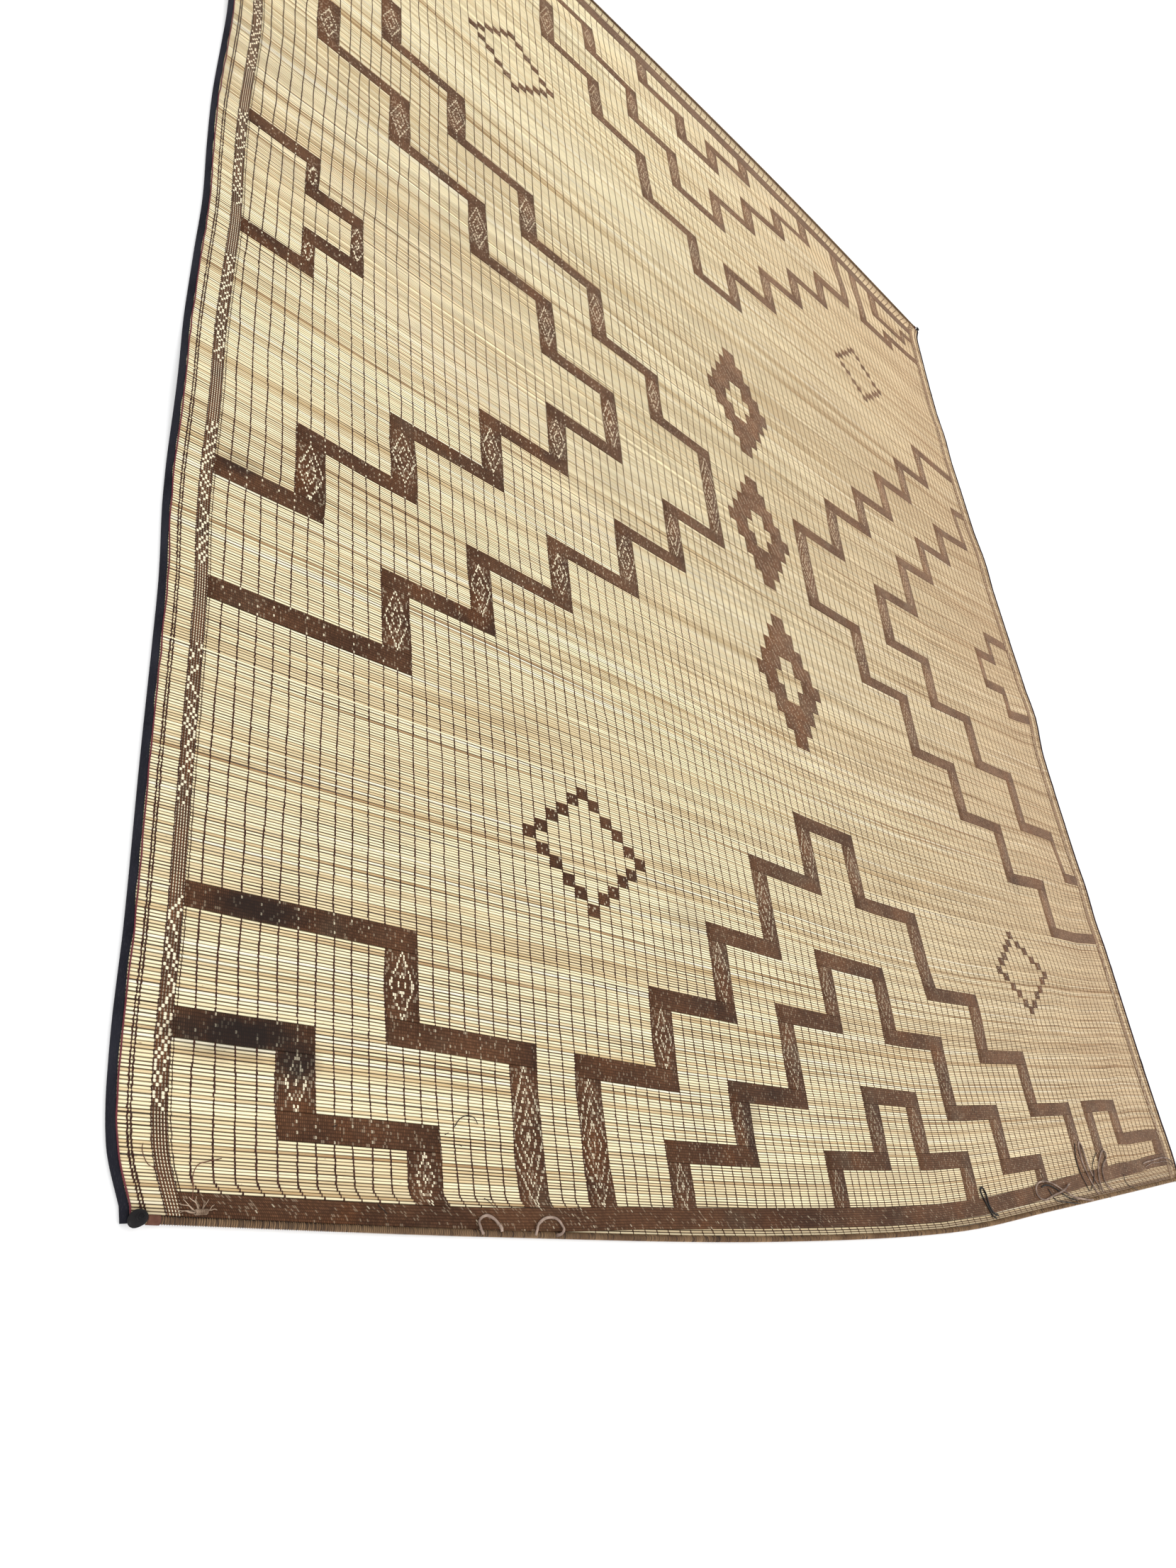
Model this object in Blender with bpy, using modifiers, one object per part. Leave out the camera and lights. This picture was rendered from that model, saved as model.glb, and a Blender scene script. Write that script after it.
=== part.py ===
# A large floor mat of reeds bound with leather thongs, lying flat on the floor.
# X runs along the reeds, Y along the thongs and Z is up. The origin is the middle of
# the mat's footprint, on the floor.
import math

import bmesh
import bpy
from mathutils import Vector

NAME = "reed_leather_mat"
MM = 0.001
UP = Vector((0, 0, 1))

# Driving sizes, in metres.
WIDTH = 2.520                # along the reeds, between the two straight side lines
LENGTH = 2.772               # along the thongs, between the two straight end lines
THICKNESS = 0.004            # a reed with the thongs above and below it
GAP = 0.0003                 # between two pieces
CLOTH = 0.0008               # the folded edge cloth
FLAP = 0.008                 # how far the edge cloth reaches in over the reeds
CLOTH_SOFT = 0.0014          # bevel of the folded cloth's outer corners
PIPING = 0.0016              # the thin red line beside the edge cloth
PIPING_SIDES = 6
ROLL = 0.008                 # the whipped roll at each end
CORD_RADIUS = 0.0016         # a leather tie
ROUND_STEPS = 2              # Blender's bevel resolution of the rolls and ties
CAP_RADIUS = 0.0082
CAP_SQUASH = 0.85            # share of the cap's width that it has along Y
CAP_HEIGHT = 0.0046
CAP_ROUNDNESS = 0.8          # 1 is an even dome, less makes its face flatter
CAP_SEGMENTS = 18
CAP_RINGS = 9
CAP_STEM_RADIUS = 0.0025
CAP_STEM_SEGMENTS = 12
CAP_INSET = 0.0131           # cap's middle, in from the side of the mat
CAP_SHIFT = 0.001            # cap's middle, in from the roll's own middle
ROLL_INSET = 0.0218          # where the roll ends beside the cap
SIDE_FLAT = 0.036            # strip at each side that the edge cloth holds off the floor
SIDE_RAMP = 0.110            # where the mat has come down to the floor again

# The panel's grid.
COLUMNS = 38
ROWS = 42
EDGE_CROWDING = 0.5          # 0 spaces the columns evenly, near 1 crowds them at the sides

# Each side wanders out of its straight line: (share of the length, left out, right out) in mm.
SIDE_WAVE = (
    (0.00, 0, -3),
    (0.02, 17, 2),
    (0.05, 22, -6),
    (0.09, 20, -14),
    (0.15, 20, -20),
    (0.20, 19, -24),
    (0.23, 19, -34),
    (0.27, 23, -35),
    (0.36, 20, -42),
    (0.41, 15, -40),
    (0.45, 10, -26),
    (0.49, 11, -24),
    (0.53, 10, -30),
    (0.60, 1, -38),
    (0.68, 4, -49),
    (0.75, 8, -54),
    (0.80, 11, -62),
    (0.85, 13, -56),
    (0.90, 12, -47),
    (0.95, 8, -33),
    (0.98, 5, -22),
    (1.00, 2, 8),
)
# Each end bows out of its straight line: (share of the width, bottom out, top out) in mm.
END_BOW = (
    (0.00, 1, 10),
    (0.15, 33, 29),
    (0.35, 68, 48),
    (0.55, 83, 65),
    (0.70, 67, 69),
    (0.85, 49, 57),
    (1.00, 30, 40),
)
# Soft ridges where the mat lifts off the floor:
# (share across, share up, half length, half width, turn in degrees, height), sizes in mm.
RIDGES = (
    (0.800, 0.155, 420, 105, 6, 7),
    (0.905, 0.260, 300, 95, -9, 5),
    (0.955, 0.440, 260, 120, -3, 6),
    (0.960, 0.640, 240, 115, 5, 4),
    (0.930, 0.820, 330, 120, -6, 5),
    (0.620, 0.110, 360, 95, 3, 6),
    (0.025, 0.330, 210, 130, 4, 6),
    (0.030, 0.620, 200, 120, -5, 5),
    (0.300, 0.930, 380, 105, 2, 6),
    (0.740, 0.930, 420, 110, -3, 7),
    (0.500, 0.560, 480, 100, 1, 4),
)
# Leather ties left on the bottom end: name and (x, y, lift) in mm along the tie, from the
# lower left corner of the straight lines. lift is how far it stands over the mat below it.
TIES = {
    "tie_small_loop_1": (
        (375, -30, 0), (372, -25, 0), (372, -19, 0), (376, -14, 0), (383, -12, 0),
        (390, -14, 0), (396, -18, 0), (399, -23, 0), (400, -29, 0)),
    "tie_small_loop_2": (
        (447, -35, 0), (451, -28, 0), (457, -23, 0), (465, -19, 0), (474, -18, 0),
        (483, -20, 0), (489, -25, 0), (490, -31, 0), (485, -36, 0), (477, -37, 0)),
    "tie_dark_loop": (
        (1524, -69, 0), (1518, -63, 0), (1511, -53, 0), (1503, -41, 0), (1496, -30, 0),
        (1494, -22, 0), (1499, -17, 0), (1506, -19, 0), (1511, -27, 0), (1512, -37, 0),
        (1514, -47, 0), (1520, -56, 0), (1529, -62, 0), (1539, -64, 0)),
    "tie_knot_ring": (
        (1960, -54, 0), (1938, -53, 0), (1912, -51, 0), (1886, -47, 0), (1862, -40, 0),
        (1838, -32, 0), (1813, -23, 0), (1787, -16, 0), (1760, -13, 0), (1735, -15, 0),
        (1719, -23, 0), (1716, -34, 0), (1727, -43, 0), (1746, -46, 0), (1768, -43, 0),
        (1789, -39, 1.2), (1808, -36, 3.0), (1826, -33, 4.2), (1842, -29, 3.9), (1858, -24, 1.9),
        (1874, -21, 0)),
    "tie_long_loop": (
        (2003, -44, 0), (1995, -33, 0), (1985, -19, 0), (1976, -4, 0), (1969, 14, 0),
        (1966, 33, 0), (1969, 50, 0), (1977, 59, 0), (1985, 53, 0), (1988, 37, 0),
        (1990, 18, 0), (1996, 1, 0), (2005, -13, 0), (2014, -25, 0), (2020, -37, 0)),
    "tie_curl": (
        (2032, -42, 0), (2030, -28, 0), (2031, -13, 0), (2038, 2, 0), (2050, 15, 0),
        (2065, 27, 0), (2080, 37, 0), (2093, 42, 0), (2102, 38, 0), (2102, 29, 0),
        (2092, 22, 0), (2079, 16, 0), (2066, 8, 0), (2058, -3, 0), (2056, -16, 0),
        (2063, -27, 0), (2075, -34, 0), (2088, -38, 0)),
    "tie_corner_end": (
        (2498, 8, 0), (2488, 15, 0), (2472, 20, 0), (2451, 22, 0), (2427, 22, 0),
        (2402, 20, 0), (2376, 18, 0), (2350, 16, 0), (2326, 14, 0), (2306, 11, 0)),
}
# The frayed lashing at the bottom left: its bar, then (root along the bar, tip x, tip y) in mm.
LASHING_BAR = (68.0, 5.0, 11.0, 4.2, 2.6)       # middle x, middle y, length, width, height
STRANDS = (
    (-4.6, 45, 5),
    (-3.8, 46, 9),
    (-2.9, 48, 13),
    (-1.9, 52, 16),
    (-0.9, 57, 18),
    (0.1, 63, 18),
    (1.2, 69, 17),
    (2.3, 75, 15),
    (3.4, 80, 11),
    (4.4, 83, 6),
)
STRAND_RADIUS = 0.0005
STRAND_TAPER = 0.5           # share of its radius that a strand loses towards its tip
STRAND_SWAY = 0.0012         # how far a strand bows sideways
STRAND_SHARES = (0.0, 0.35, 0.7, 1.0)           # rings of points along a strand
STRAND_LANDS = 0.7           # share of a strand's length where it has come down to the mat
STRAND_ROOT = 0.45           # height of the strands' roots, as a share of the bar's
RING = ((1, 0), (0, 1), (-1, 0), (0, -1))       # corners of a strand's section


def smooth(rows, at, column):
    """Reads a column of a table at a share, on a smooth curve through its rows."""
    last = len(rows) - 1
    at = min(max(at, rows[0][0]), rows[last][0])
    k = next((i for i in range(last) if at <= rows[i + 1][0]), last - 1)

    def slope(i):
        a, b = max(i - 1, 0), min(i + 1, last)
        return (rows[b][column] - rows[a][column]) / (rows[b][0] - rows[a][0])

    span = rows[k + 1][0] - rows[k][0]
    t = (at - rows[k][0]) / span
    low, high = rows[k][column], rows[k + 1][column]
    return (low * (1 + 2 * t) * (1 - t) ** 2 + high * t * t * (3 - 2 * t)
            + slope(k) * span * t * (1 - t) ** 2 - slope(k + 1) * span * t * t * (1 - t))


def outline(across, up, inset_side=0.0, inset_end=0.0):
    """The place of a share across and up, from the lower left corner of the straight lines."""
    left = -smooth(SIDE_WAVE, up, 1) * MM + inset_side
    right = WIDTH + smooth(SIDE_WAVE, up, 2) * MM - inset_side
    bottom = -smooth(END_BOW, across, 1) * MM + inset_end
    top = LENGTH + smooth(END_BOW, across, 2) * MM - inset_end
    x = across * WIDTH + left * (1 - across) ** 3 + (right - WIDTH) * across ** 3
    y = bottom + up * (top - bottom)
    return x, y


def middle():
    """The middle of the footprint, which becomes the origin."""
    shares = [i / ROWS for i in range(ROWS + 1)]
    left = min(outline(0, s)[0] for s in shares)
    right = max(outline(1, s)[0] for s in shares)
    across = [column_share(i) for i in range(COLUMNS + 1)]
    bottom = min(outline(s, 0)[1] for s in across)
    top = max(outline(s, 1)[1] for s in across)
    return (left + right) / 2, (bottom + top) / 2


def column_share(i):
    """Share across of a grid column, closer together towards the sides."""
    s = i / COLUMNS
    return s - EDGE_CROWDING * math.sin(2 * math.pi * s) / (2 * math.pi)


MIDDLE_X, MIDDLE_Y = middle()


def bell(t):
    return (1 - t * t) ** 2 if abs(t) < 1 else 0.0


def lift(x, y, up):
    """How far the mat's underside stands off the floor."""
    left = outline(0, up)[0]
    right = outline(1, up)[0]
    x = min(max(x, left + SIDE_FLAT), right - SIDE_FLAT)
    total = 0.0
    for across, along, half_length, half_width, turn, height in RIDGES:
        dx, dy = x - across * WIDTH, y - along * LENGTH
        c, s = math.cos(math.radians(turn)), math.sin(math.radians(turn))
        a = (dx * c + dy * s) / (half_length * MM)
        b = (dy * c - dx * s) / (half_width * MM)
        total += height * MM * bell(a) * bell(b)
    return total


def side_lift(x, up):
    """The edge cloth passes under the reeds, so the sides stand a little off the floor."""
    side = min(x - outline(0, up)[0], outline(1, up)[0] - x)
    t = min(max((side - SIDE_FLAT) / (SIDE_RAMP - SIDE_FLAT), 0), 1)
    return (CLOTH + GAP) * (1 - t * t * (3 - 2 * t))


def place(x, y, z):
    return Vector((x - MIDDLE_X, y - MIDDLE_Y, z))


def material(name, colour, roughness):
    m = bpy.data.materials.new(name)
    m.use_nodes = True
    shader = m.node_tree.nodes["Principled BSDF"]
    shader.inputs["Base Color"].default_value = (*colour, 1)
    shader.inputs["Roughness"].default_value = roughness
    shader.inputs["Metallic"].default_value = 0
    return m


def link(name, data, collection, finish):
    piece = bpy.data.objects.new(name, data)
    collection.objects.link(piece)
    data.materials.append(finish)
    return piece


def reed_panel(collection, finish):
    """One sheet of reeds, with its bowed ends, wavy sides and soft ridges."""
    bm = bmesh.new()
    bmesh.ops.create_grid(bm, x_segments=COLUMNS, y_segments=ROWS, size=1)
    for v in bm.verts:
        across = column_share(round((v.co.x + 1) / 2 * COLUMNS))
        up = (v.co.y + 1) / 2
        x, y = outline(across, up, CLOTH + GAP, ROLL + GAP)
        v.co = place(x, y, lift(x, y, up) + side_lift(x, up))
    mesh = bpy.data.meshes.new("reed_panel")
    bm.to_mesh(mesh)
    bm.free()
    piece = link("reed_panel", mesh, collection, finish)
    wall = piece.modifiers.new("thickness", "SOLIDIFY")
    wall.thickness = THICKNESS
    wall.offset = 1
    return piece


def path(name, points, cyclic=False):
    """A curve of straight steps through the points. A closed one is flat."""
    curve = bpy.data.curves.new(name, "CURVE")
    curve.dimensions = "2D" if cyclic else "3D"
    curve.twist_mode = "Z_UP"
    curve.use_fill_caps = True
    spline = curve.splines.new("POLY")
    spline.points.add(len(points) - 1)
    for p, q in zip(spline.points, points):
        p.co = (*q, 1)
    spline.use_cyclic_u = cyclic
    return curve


def side_points(across):
    """Points up one side's outer line, on the same rows as the panel's grid."""
    points = []
    for j in range(ROWS + 1):
        up = j / ROWS
        x, y = outline(across, up, 0, ROLL + GAP)
        points.append(place(x, y, lift(x, y, up)))
    for end, step in ((0, -1), (-1, 1)):
        corner = points[end].copy()
        corner.y += step * ROLL
        points.insert(0 if end == 0 else len(points), corner)
    return points


def cloth_section():
    """Outline of the folded edge cloth, inwards and up from its outer line."""
    top = THICKNESS + 2 * CLOTH + 2 * GAP
    soft = CLOTH_SOFT
    return (
        (FLAP, 0), (soft, 0), (0, soft), (0, top - soft), (soft, top), (FLAP, top),
        (FLAP, top - CLOTH), (CLOTH, top - CLOTH), (CLOTH, CLOTH), (FLAP, CLOTH))


def piping_section():
    """Outline of the piping, beside the cloth and on the reeds."""
    low = CLOTH + GAP + THICKNESS + GAP
    radius = PIPING / 2
    middle_in = FLAP + GAP + radius
    turns = [-math.pi * (2 * k + 1) / PIPING_SIDES for k in range(PIPING_SIDES)]
    return [(middle_in + radius * math.cos(a), low + radius + radius * math.sin(a)) for a in turns]


def side_strip(name, section, across, collection, guides, finish):
    """A strip of one section along a side, inwards from the side's outer line."""
    guide_curve = path(name + "_section", [(a, b, 0) for a, b in section], cyclic=True)
    guide = bpy.data.objects.new(name + "_section", guide_curve)
    guides.objects.link(guide)
    guide.hide_render = True
    guide.display_type = "WIRE"
    points = side_points(across)
    curve = path(name, points if across == 0 else points[::-1])
    curve.bevel_mode = "OBJECT"
    curve.bevel_object = guide
    return link(name, curve, collection, finish)


def end_line(up, inset):
    """Points along one end, on the panel's columns, between the two caps."""
    points = []
    for i in range(COLUMNS + 1):
        x, y = outline(column_share(i), up, 0, inset)
        points.append((x, y, lift(x, y, up)))
    return points


def at_inset(points, distance):
    """The point at a distance in from the line's first point, measured along X."""
    start = points[0]
    way = 1 if points[-1][0] > start[0] else -1
    for a, b in zip(points, points[1:]):
        if way * (b[0] - start[0]) >= distance:
            t = (start[0] + way * distance - a[0]) / (b[0] - a[0])
            return tuple(p + (q - p) * t for p, q in zip(a, b))


def end_roll(end, up, collection, finish):
    """The last reeds of an end, whipped with leather into a roll."""
    line = end_line(up, ROLL / 2)
    first, last = at_inset(line, ROLL_INSET), at_inset(line[::-1], ROLL_INSET)
    inner = [p for p in line if first[0] < p[0] < last[0]]
    points = [place(x, y, z + ROLL / 2) for x, y, z in [first, *inner, last]]
    curve = path("end_roll_" + end, points)
    curve.bevel_depth = ROLL / 2
    curve.bevel_resolution = ROUND_STEPS
    return link("end_roll_" + end, curve, collection, finish)


def corner_cap(name, up, across, collection, finish):
    """Black leather knob over the end of a roll, on a short stem."""
    line = end_line(up, ROLL / 2)
    x, y, z = at_inset(line if across == 0 else line[::-1], CAP_INSET)
    inwards = 1 if up == 0 else -1
    low = CLOTH + THICKNESS + PIPING + 3 * GAP
    stem_top = low + CAP_HEIGHT / 2
    bm = bmesh.new()
    made = bmesh.ops.create_cone(
        bm, cap_ends=True, segments=CAP_STEM_SEGMENTS, radius1=CAP_STEM_RADIUS,
        radius2=CAP_STEM_RADIUS, depth=stem_top)
    bmesh.ops.translate(bm, verts=made["verts"], vec=place(x, y, z + stem_top / 2))
    mesh = bpy.data.meshes.new(name)
    bm.to_mesh(mesh)
    bm.free()
    piece = link(name, mesh, collection, finish)

    bm = bmesh.new()
    made = bmesh.ops.create_uvsphere(
        bm, u_segments=CAP_SEGMENTS, v_segments=CAP_RINGS, radius=CAP_RADIUS)
    for v in made["verts"]:
        up_share = v.co.z / CAP_RADIUS
        v.co.y *= CAP_SQUASH
        v.co.z = math.copysign(abs(up_share) ** CAP_ROUNDNESS, up_share) * CAP_HEIGHT / 2
    centre = place(x, y + inwards * CAP_SHIFT, z + low + CAP_HEIGHT / 2)
    bmesh.ops.translate(bm, verts=made["verts"], vec=centre)
    return piece, bm


def join(piece, bm, guides):
    """Adds a second closed shape to a piece."""
    mesh = bpy.data.meshes.new(piece.name + "_part")
    bm.to_mesh(mesh)
    bm.free()
    other = bpy.data.objects.new(piece.name + "_part", mesh)
    guides.objects.link(other)
    other.hide_render = True
    other.display_type = "WIRE"
    union = piece.modifiers.new("union", "BOOLEAN")
    union.operation = "UNION"
    union.solver = "EXACT"
    union.use_self = True
    union.object = other
    return piece


def bend(points, steps):
    """A smooth curve through the points, with a few steps to each."""
    out = []
    last = len(points) - 1
    for i in range(last):
        before, here = points[max(i - 1, 0)], points[i]
        there, after = points[i + 1], points[min(i + 2, last)]
        for k in range(steps):
            t = k / steps
            out.append(tuple(
                0.5 * (2 * b + (c - a) * t + (2 * a - 5 * b + 4 * c - d) * t * t
                       + (3 * b - a - 3 * c + d) * t ** 3)
                for a, b, c, d in zip(before, here, there, after)))
    out.append(points[last])
    return out


def mat_top(x, y):
    """Height of whatever a tie lies on: the mat, or the roll at its end."""
    across = x / WIDTH
    edge = outline(across, 0)[1]
    ground = lift(x, y, max(y / LENGTH, 0)) + side_lift(x, 0) + THICKNESS
    over_roll = edge + ROLL + GAP - y
    if over_roll <= -ROLL:
        return ground
    t = min((over_roll + ROLL) / ROLL, 1)
    return ground + (ROLL - THICKNESS) * t * t * (3 - 2 * t)


def tie(name, route, collection, finish):
    """A leather tie that lies on the end of the mat, with a free end."""
    points = []
    for x, y, rise in bend(route, 2):
        z = mat_top(x * MM, y * MM) + 2 * GAP + CORD_RADIUS + rise * MM
        points.append(place(x * MM, y * MM, z))
    curve = path(name, points)
    curve.bevel_depth = CORD_RADIUS
    curve.bevel_resolution = ROUND_STEPS
    return link(name, curve, collection, finish)


def frayed_lashing(collection, guides, finish):
    """Loose leather strands that spread from a short bar on the mat's corner."""
    x, y, length, width, height = [v * MM for v in LASHING_BAR]
    floor = lift(x, y, 0) + side_lift(x, 0) + THICKNESS + 2 * GAP
    bm = bmesh.new()
    bmesh.ops.create_cube(bm, size=1)
    for v in bm.verts:
        v.co = place(x + v.co.x * length, y + v.co.y * width, floor + (v.co.z + 0.5) * height)
    mesh = bpy.data.meshes.new("frayed_lashing")
    bm.to_mesh(mesh)
    bm.free()
    piece = link("frayed_lashing", mesh, collection, finish)

    bm = bmesh.new()
    for i, (root, tip_x, tip_y) in enumerate(STRANDS):
        start = place(x + root * MM, y, floor + STRAND_ROOT * height)
        tip = place(tip_x * MM, tip_y * MM, floor + STRAND_RADIUS)
        way = (tip - start).normalized()
        side = Vector((-way.y, way.x, 0)).normalized()
        rings = []
        for t in STRAND_SHARES:
            p = start.lerp(tip, t)
            p.z = start.z + (tip.z - start.z) * min(t / STRAND_LANDS, 1)
            p += side * STRAND_SWAY * math.sin(math.pi * t) * (1 if i % 2 else -1)
            r = STRAND_RADIUS * (1 - STRAND_TAPER * t)
            rings.append([bm.verts.new(p + r * (side * c + UP * s)) for c, s in RING])
        for a, b in zip(rings, rings[1:]):
            for n in range(len(RING)):
                after = (n + 1) % len(RING)
                bm.faces.new((a[n], a[after], b[after], b[n]))
        bm.faces.new(rings[0][::-1])
        bm.faces.new(rings[-1])
    bmesh.ops.recalc_face_normals(bm, faces=bm.faces)
    return join(piece, bm, guides)


def build():
    for old in list(bpy.data.objects):
        bpy.data.objects.remove(old, do_unlink=True)
    mat = bpy.data.collections.new(NAME)
    guides = bpy.data.collections.new(NAME + "_guides")
    for collection in (mat, guides):
        bpy.context.scene.collection.children.link(collection)

    reed = material("straw reed", (0.78, 0.62, 0.36), 0.55)
    leather = material("brown leather", (0.16, 0.09, 0.06), 0.6)
    dark = material("black leather", (0.02, 0.018, 0.017), 0.45)
    cloth = material("indigo edge cloth", (0.03, 0.03, 0.04), 0.85)
    red = material("red leather", (0.24, 0.03, 0.04), 0.55)

    reed_panel(mat, reed)
    for side, across in (("left", 0), ("right", 1)):
        side_strip("edge_binding_" + side, cloth_section(), across, mat, guides, cloth)
        side_strip("edge_piping_" + side, piping_section(), across, mat, guides, red)
    for end, up in (("bottom", 0), ("top", 1)):
        end_roll(end, up, mat, leather)
        for side, across in (("left", 0), ("right", 1)):
            cap, dome = corner_cap(f"corner_cap_{end}_{side}", up, across, mat, dark)
            join(cap, dome, guides)
    for name, route in TIES.items():
        tie(name, route, mat, leather)
    frayed_lashing(mat, guides, leather)


build()
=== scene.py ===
# The looks of a large floor mat of reeds bound with leather thongs, lying flat on the floor.
# X runs along the reeds, Y along the thongs and Z is up. Lengths are in metres, and the
# origin is the middle of the mat's footprint, on the floor.
import math

import bmesh
import bpy
import numpy as np
from mathutils import Matrix, Vector


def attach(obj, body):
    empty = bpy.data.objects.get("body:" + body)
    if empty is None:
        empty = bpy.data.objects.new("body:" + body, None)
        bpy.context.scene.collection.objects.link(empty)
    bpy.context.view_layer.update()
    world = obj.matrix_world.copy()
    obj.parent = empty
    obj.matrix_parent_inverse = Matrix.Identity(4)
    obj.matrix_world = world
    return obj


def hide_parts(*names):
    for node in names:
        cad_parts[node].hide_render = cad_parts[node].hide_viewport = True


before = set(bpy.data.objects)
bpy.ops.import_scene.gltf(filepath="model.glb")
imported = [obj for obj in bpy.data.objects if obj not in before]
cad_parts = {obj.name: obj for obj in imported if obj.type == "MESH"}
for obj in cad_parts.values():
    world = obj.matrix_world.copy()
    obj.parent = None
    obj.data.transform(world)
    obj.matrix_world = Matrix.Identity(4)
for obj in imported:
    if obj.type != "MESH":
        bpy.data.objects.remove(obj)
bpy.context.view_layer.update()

MM = 0.001

# Sizes of the mat's frame.
WIDTH = 2.520                # along the reeds, between the two straight side lines
LENGTH = 2.772               # along the thongs, between the two straight end lines
THICKNESS = 0.004            # a reed with the thongs above and below it
GAP = 0.0003
CLOTH = 0.0008               # the folded edge cloth
FLAP = 0.008                 # how far the edge cloth reaches in over the reeds
PIPING = 0.0016              # the thin red line beside the edge cloth
ROLL = 0.008                 # the whipped roll at each end
CORD_RADIUS = 0.0016         # a leather tie
CAP_RADIUS = 0.0082
CAP_SQUASH = 0.85            # share of the cap's width that it has along Y
CAP_HEIGHT = 0.0046
CAP_INSET = 0.0131           # cap's middle, in from the side of the mat
CAP_SHIFT = 0.001            # cap's middle, in from the roll's own middle
CAP_STEM_RADIUS = 0.0025
ROLL_INSET = 0.0218          # where the roll ends beside the cap
CAP_POINT = 0.30             # how far the cap's point reaches out, as a share of its radius
CAP_COIL_TURNS = 1.6
CAP_COIL_TURN = 0.6          # radians, where the coil starts
CAP_COIL_START = 0.08        # its radius at the start, as a share of the cap's radius
CAP_COIL_GROWTH = 0.44       # how much it grows, in the same shares
CAP_COIL_SHIFT = (0.16, 0.12)      # its middle, in from the cap's middle, in the same shares
CAP_COIL_RADIUS = 0.0007     # of the strand that is coiled
COLLAR = 0.011               # the winding at each end of a roll
COLLAR_RISE = 0.0003
COLLAR_RIB = 0.08            # how much lower the hollows between its turns are
WHIPPING = 0.0009            # half the strand that is wound round a roll
WHIPPING_PITCH = 0.0023
WHIPPING_TILT = 0.22         # radians
SIDE_FLAT = 0.036            # level strip along each side
SIDE_RAMP = 0.110            # where the sides' lift over the edge cloth ends, in from the side
FRAME_COLUMNS = 38
FRAME_ROWS = 42
EDGE_CROWDING = 0.5          # how much closer together the columns are at the sides
BINDING_ROWS = 520           # steps of the edge cloth and the red line
CLOTH_EDGE = (150, 0.00045)  # turning points of the cloth's uneven edge, and how uneven it is
CLOTH_PUFF = (210, 0.00022)  # the same for how far it stands up from the reeds
RED_LINE_STRAY = (150, 0.0003)     # the same for how far the red line strays sideways
RED_LINE_THIN = 0.92         # share of PIPING that it is thick
RED_LINE_BEAT = 0.18         # how much thicker every other step of it is
SIDES = ("left", "right")
BOTTOM, TOP = "bottom", "top"
INWARDS = {"left": 1, "right": -1, BOTTOM: 1, TOP: -1}
UP = {BOTTOM: 0, TOP: 1}     # an end's share of the length

# Each side wanders out of its straight line: (share of the length, left out, right out) in mm.
SIDE_WAVE = (
    (0.00, 0, -3),
    (0.02, 17, 2),
    (0.05, 22, -6),
    (0.09, 20, -14),
    (0.15, 20, -20),
    (0.20, 19, -24),
    (0.23, 19, -34),
    (0.27, 23, -35),
    (0.36, 20, -42),
    (0.41, 15, -40),
    (0.45, 10, -26),
    (0.49, 11, -24),
    (0.53, 10, -30),
    (0.60, 1, -38),
    (0.68, 4, -49),
    (0.75, 8, -54),
    (0.80, 11, -62),
    (0.85, 13, -56),
    (0.90, 12, -47),
    (0.95, 8, -33),
    (0.98, 5, -22),
    (1.00, 2, 8),
)
# Each end bows out of its straight line: (share of the width, bottom out, top out) in mm.
END_BOW = (
    (0.00, 1, 10),
    (0.15, 33, 29),
    (0.35, 68, 48),
    (0.55, 83, 65),
    (0.70, 67, 69),
    (0.85, 49, 57),
    (1.00, 30, 40),
)
# Soft ridges where the mat lifts off the floor:
# (share across, share up, half length, half width, turn in degrees, height), sizes in mm.
RIDGES = (
    (0.800, 0.155, 420, 105, 6, 7),
    (0.905, 0.260, 300, 95, -9, 5),
    (0.955, 0.440, 260, 120, -3, 6),
    (0.960, 0.640, 240, 115, 5, 4),
    (0.930, 0.820, 330, 120, -6, 5),
    (0.620, 0.110, 360, 95, 3, 6),
    (0.025, 0.330, 210, 130, 4, 6),
    (0.030, 0.620, 200, 120, -5, 5),
    (0.300, 0.930, 380, 105, 2, 6),
    (0.740, 0.930, 420, 110, -3, 7),
    (0.500, 0.560, 480, 100, 1, 4),
)
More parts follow.
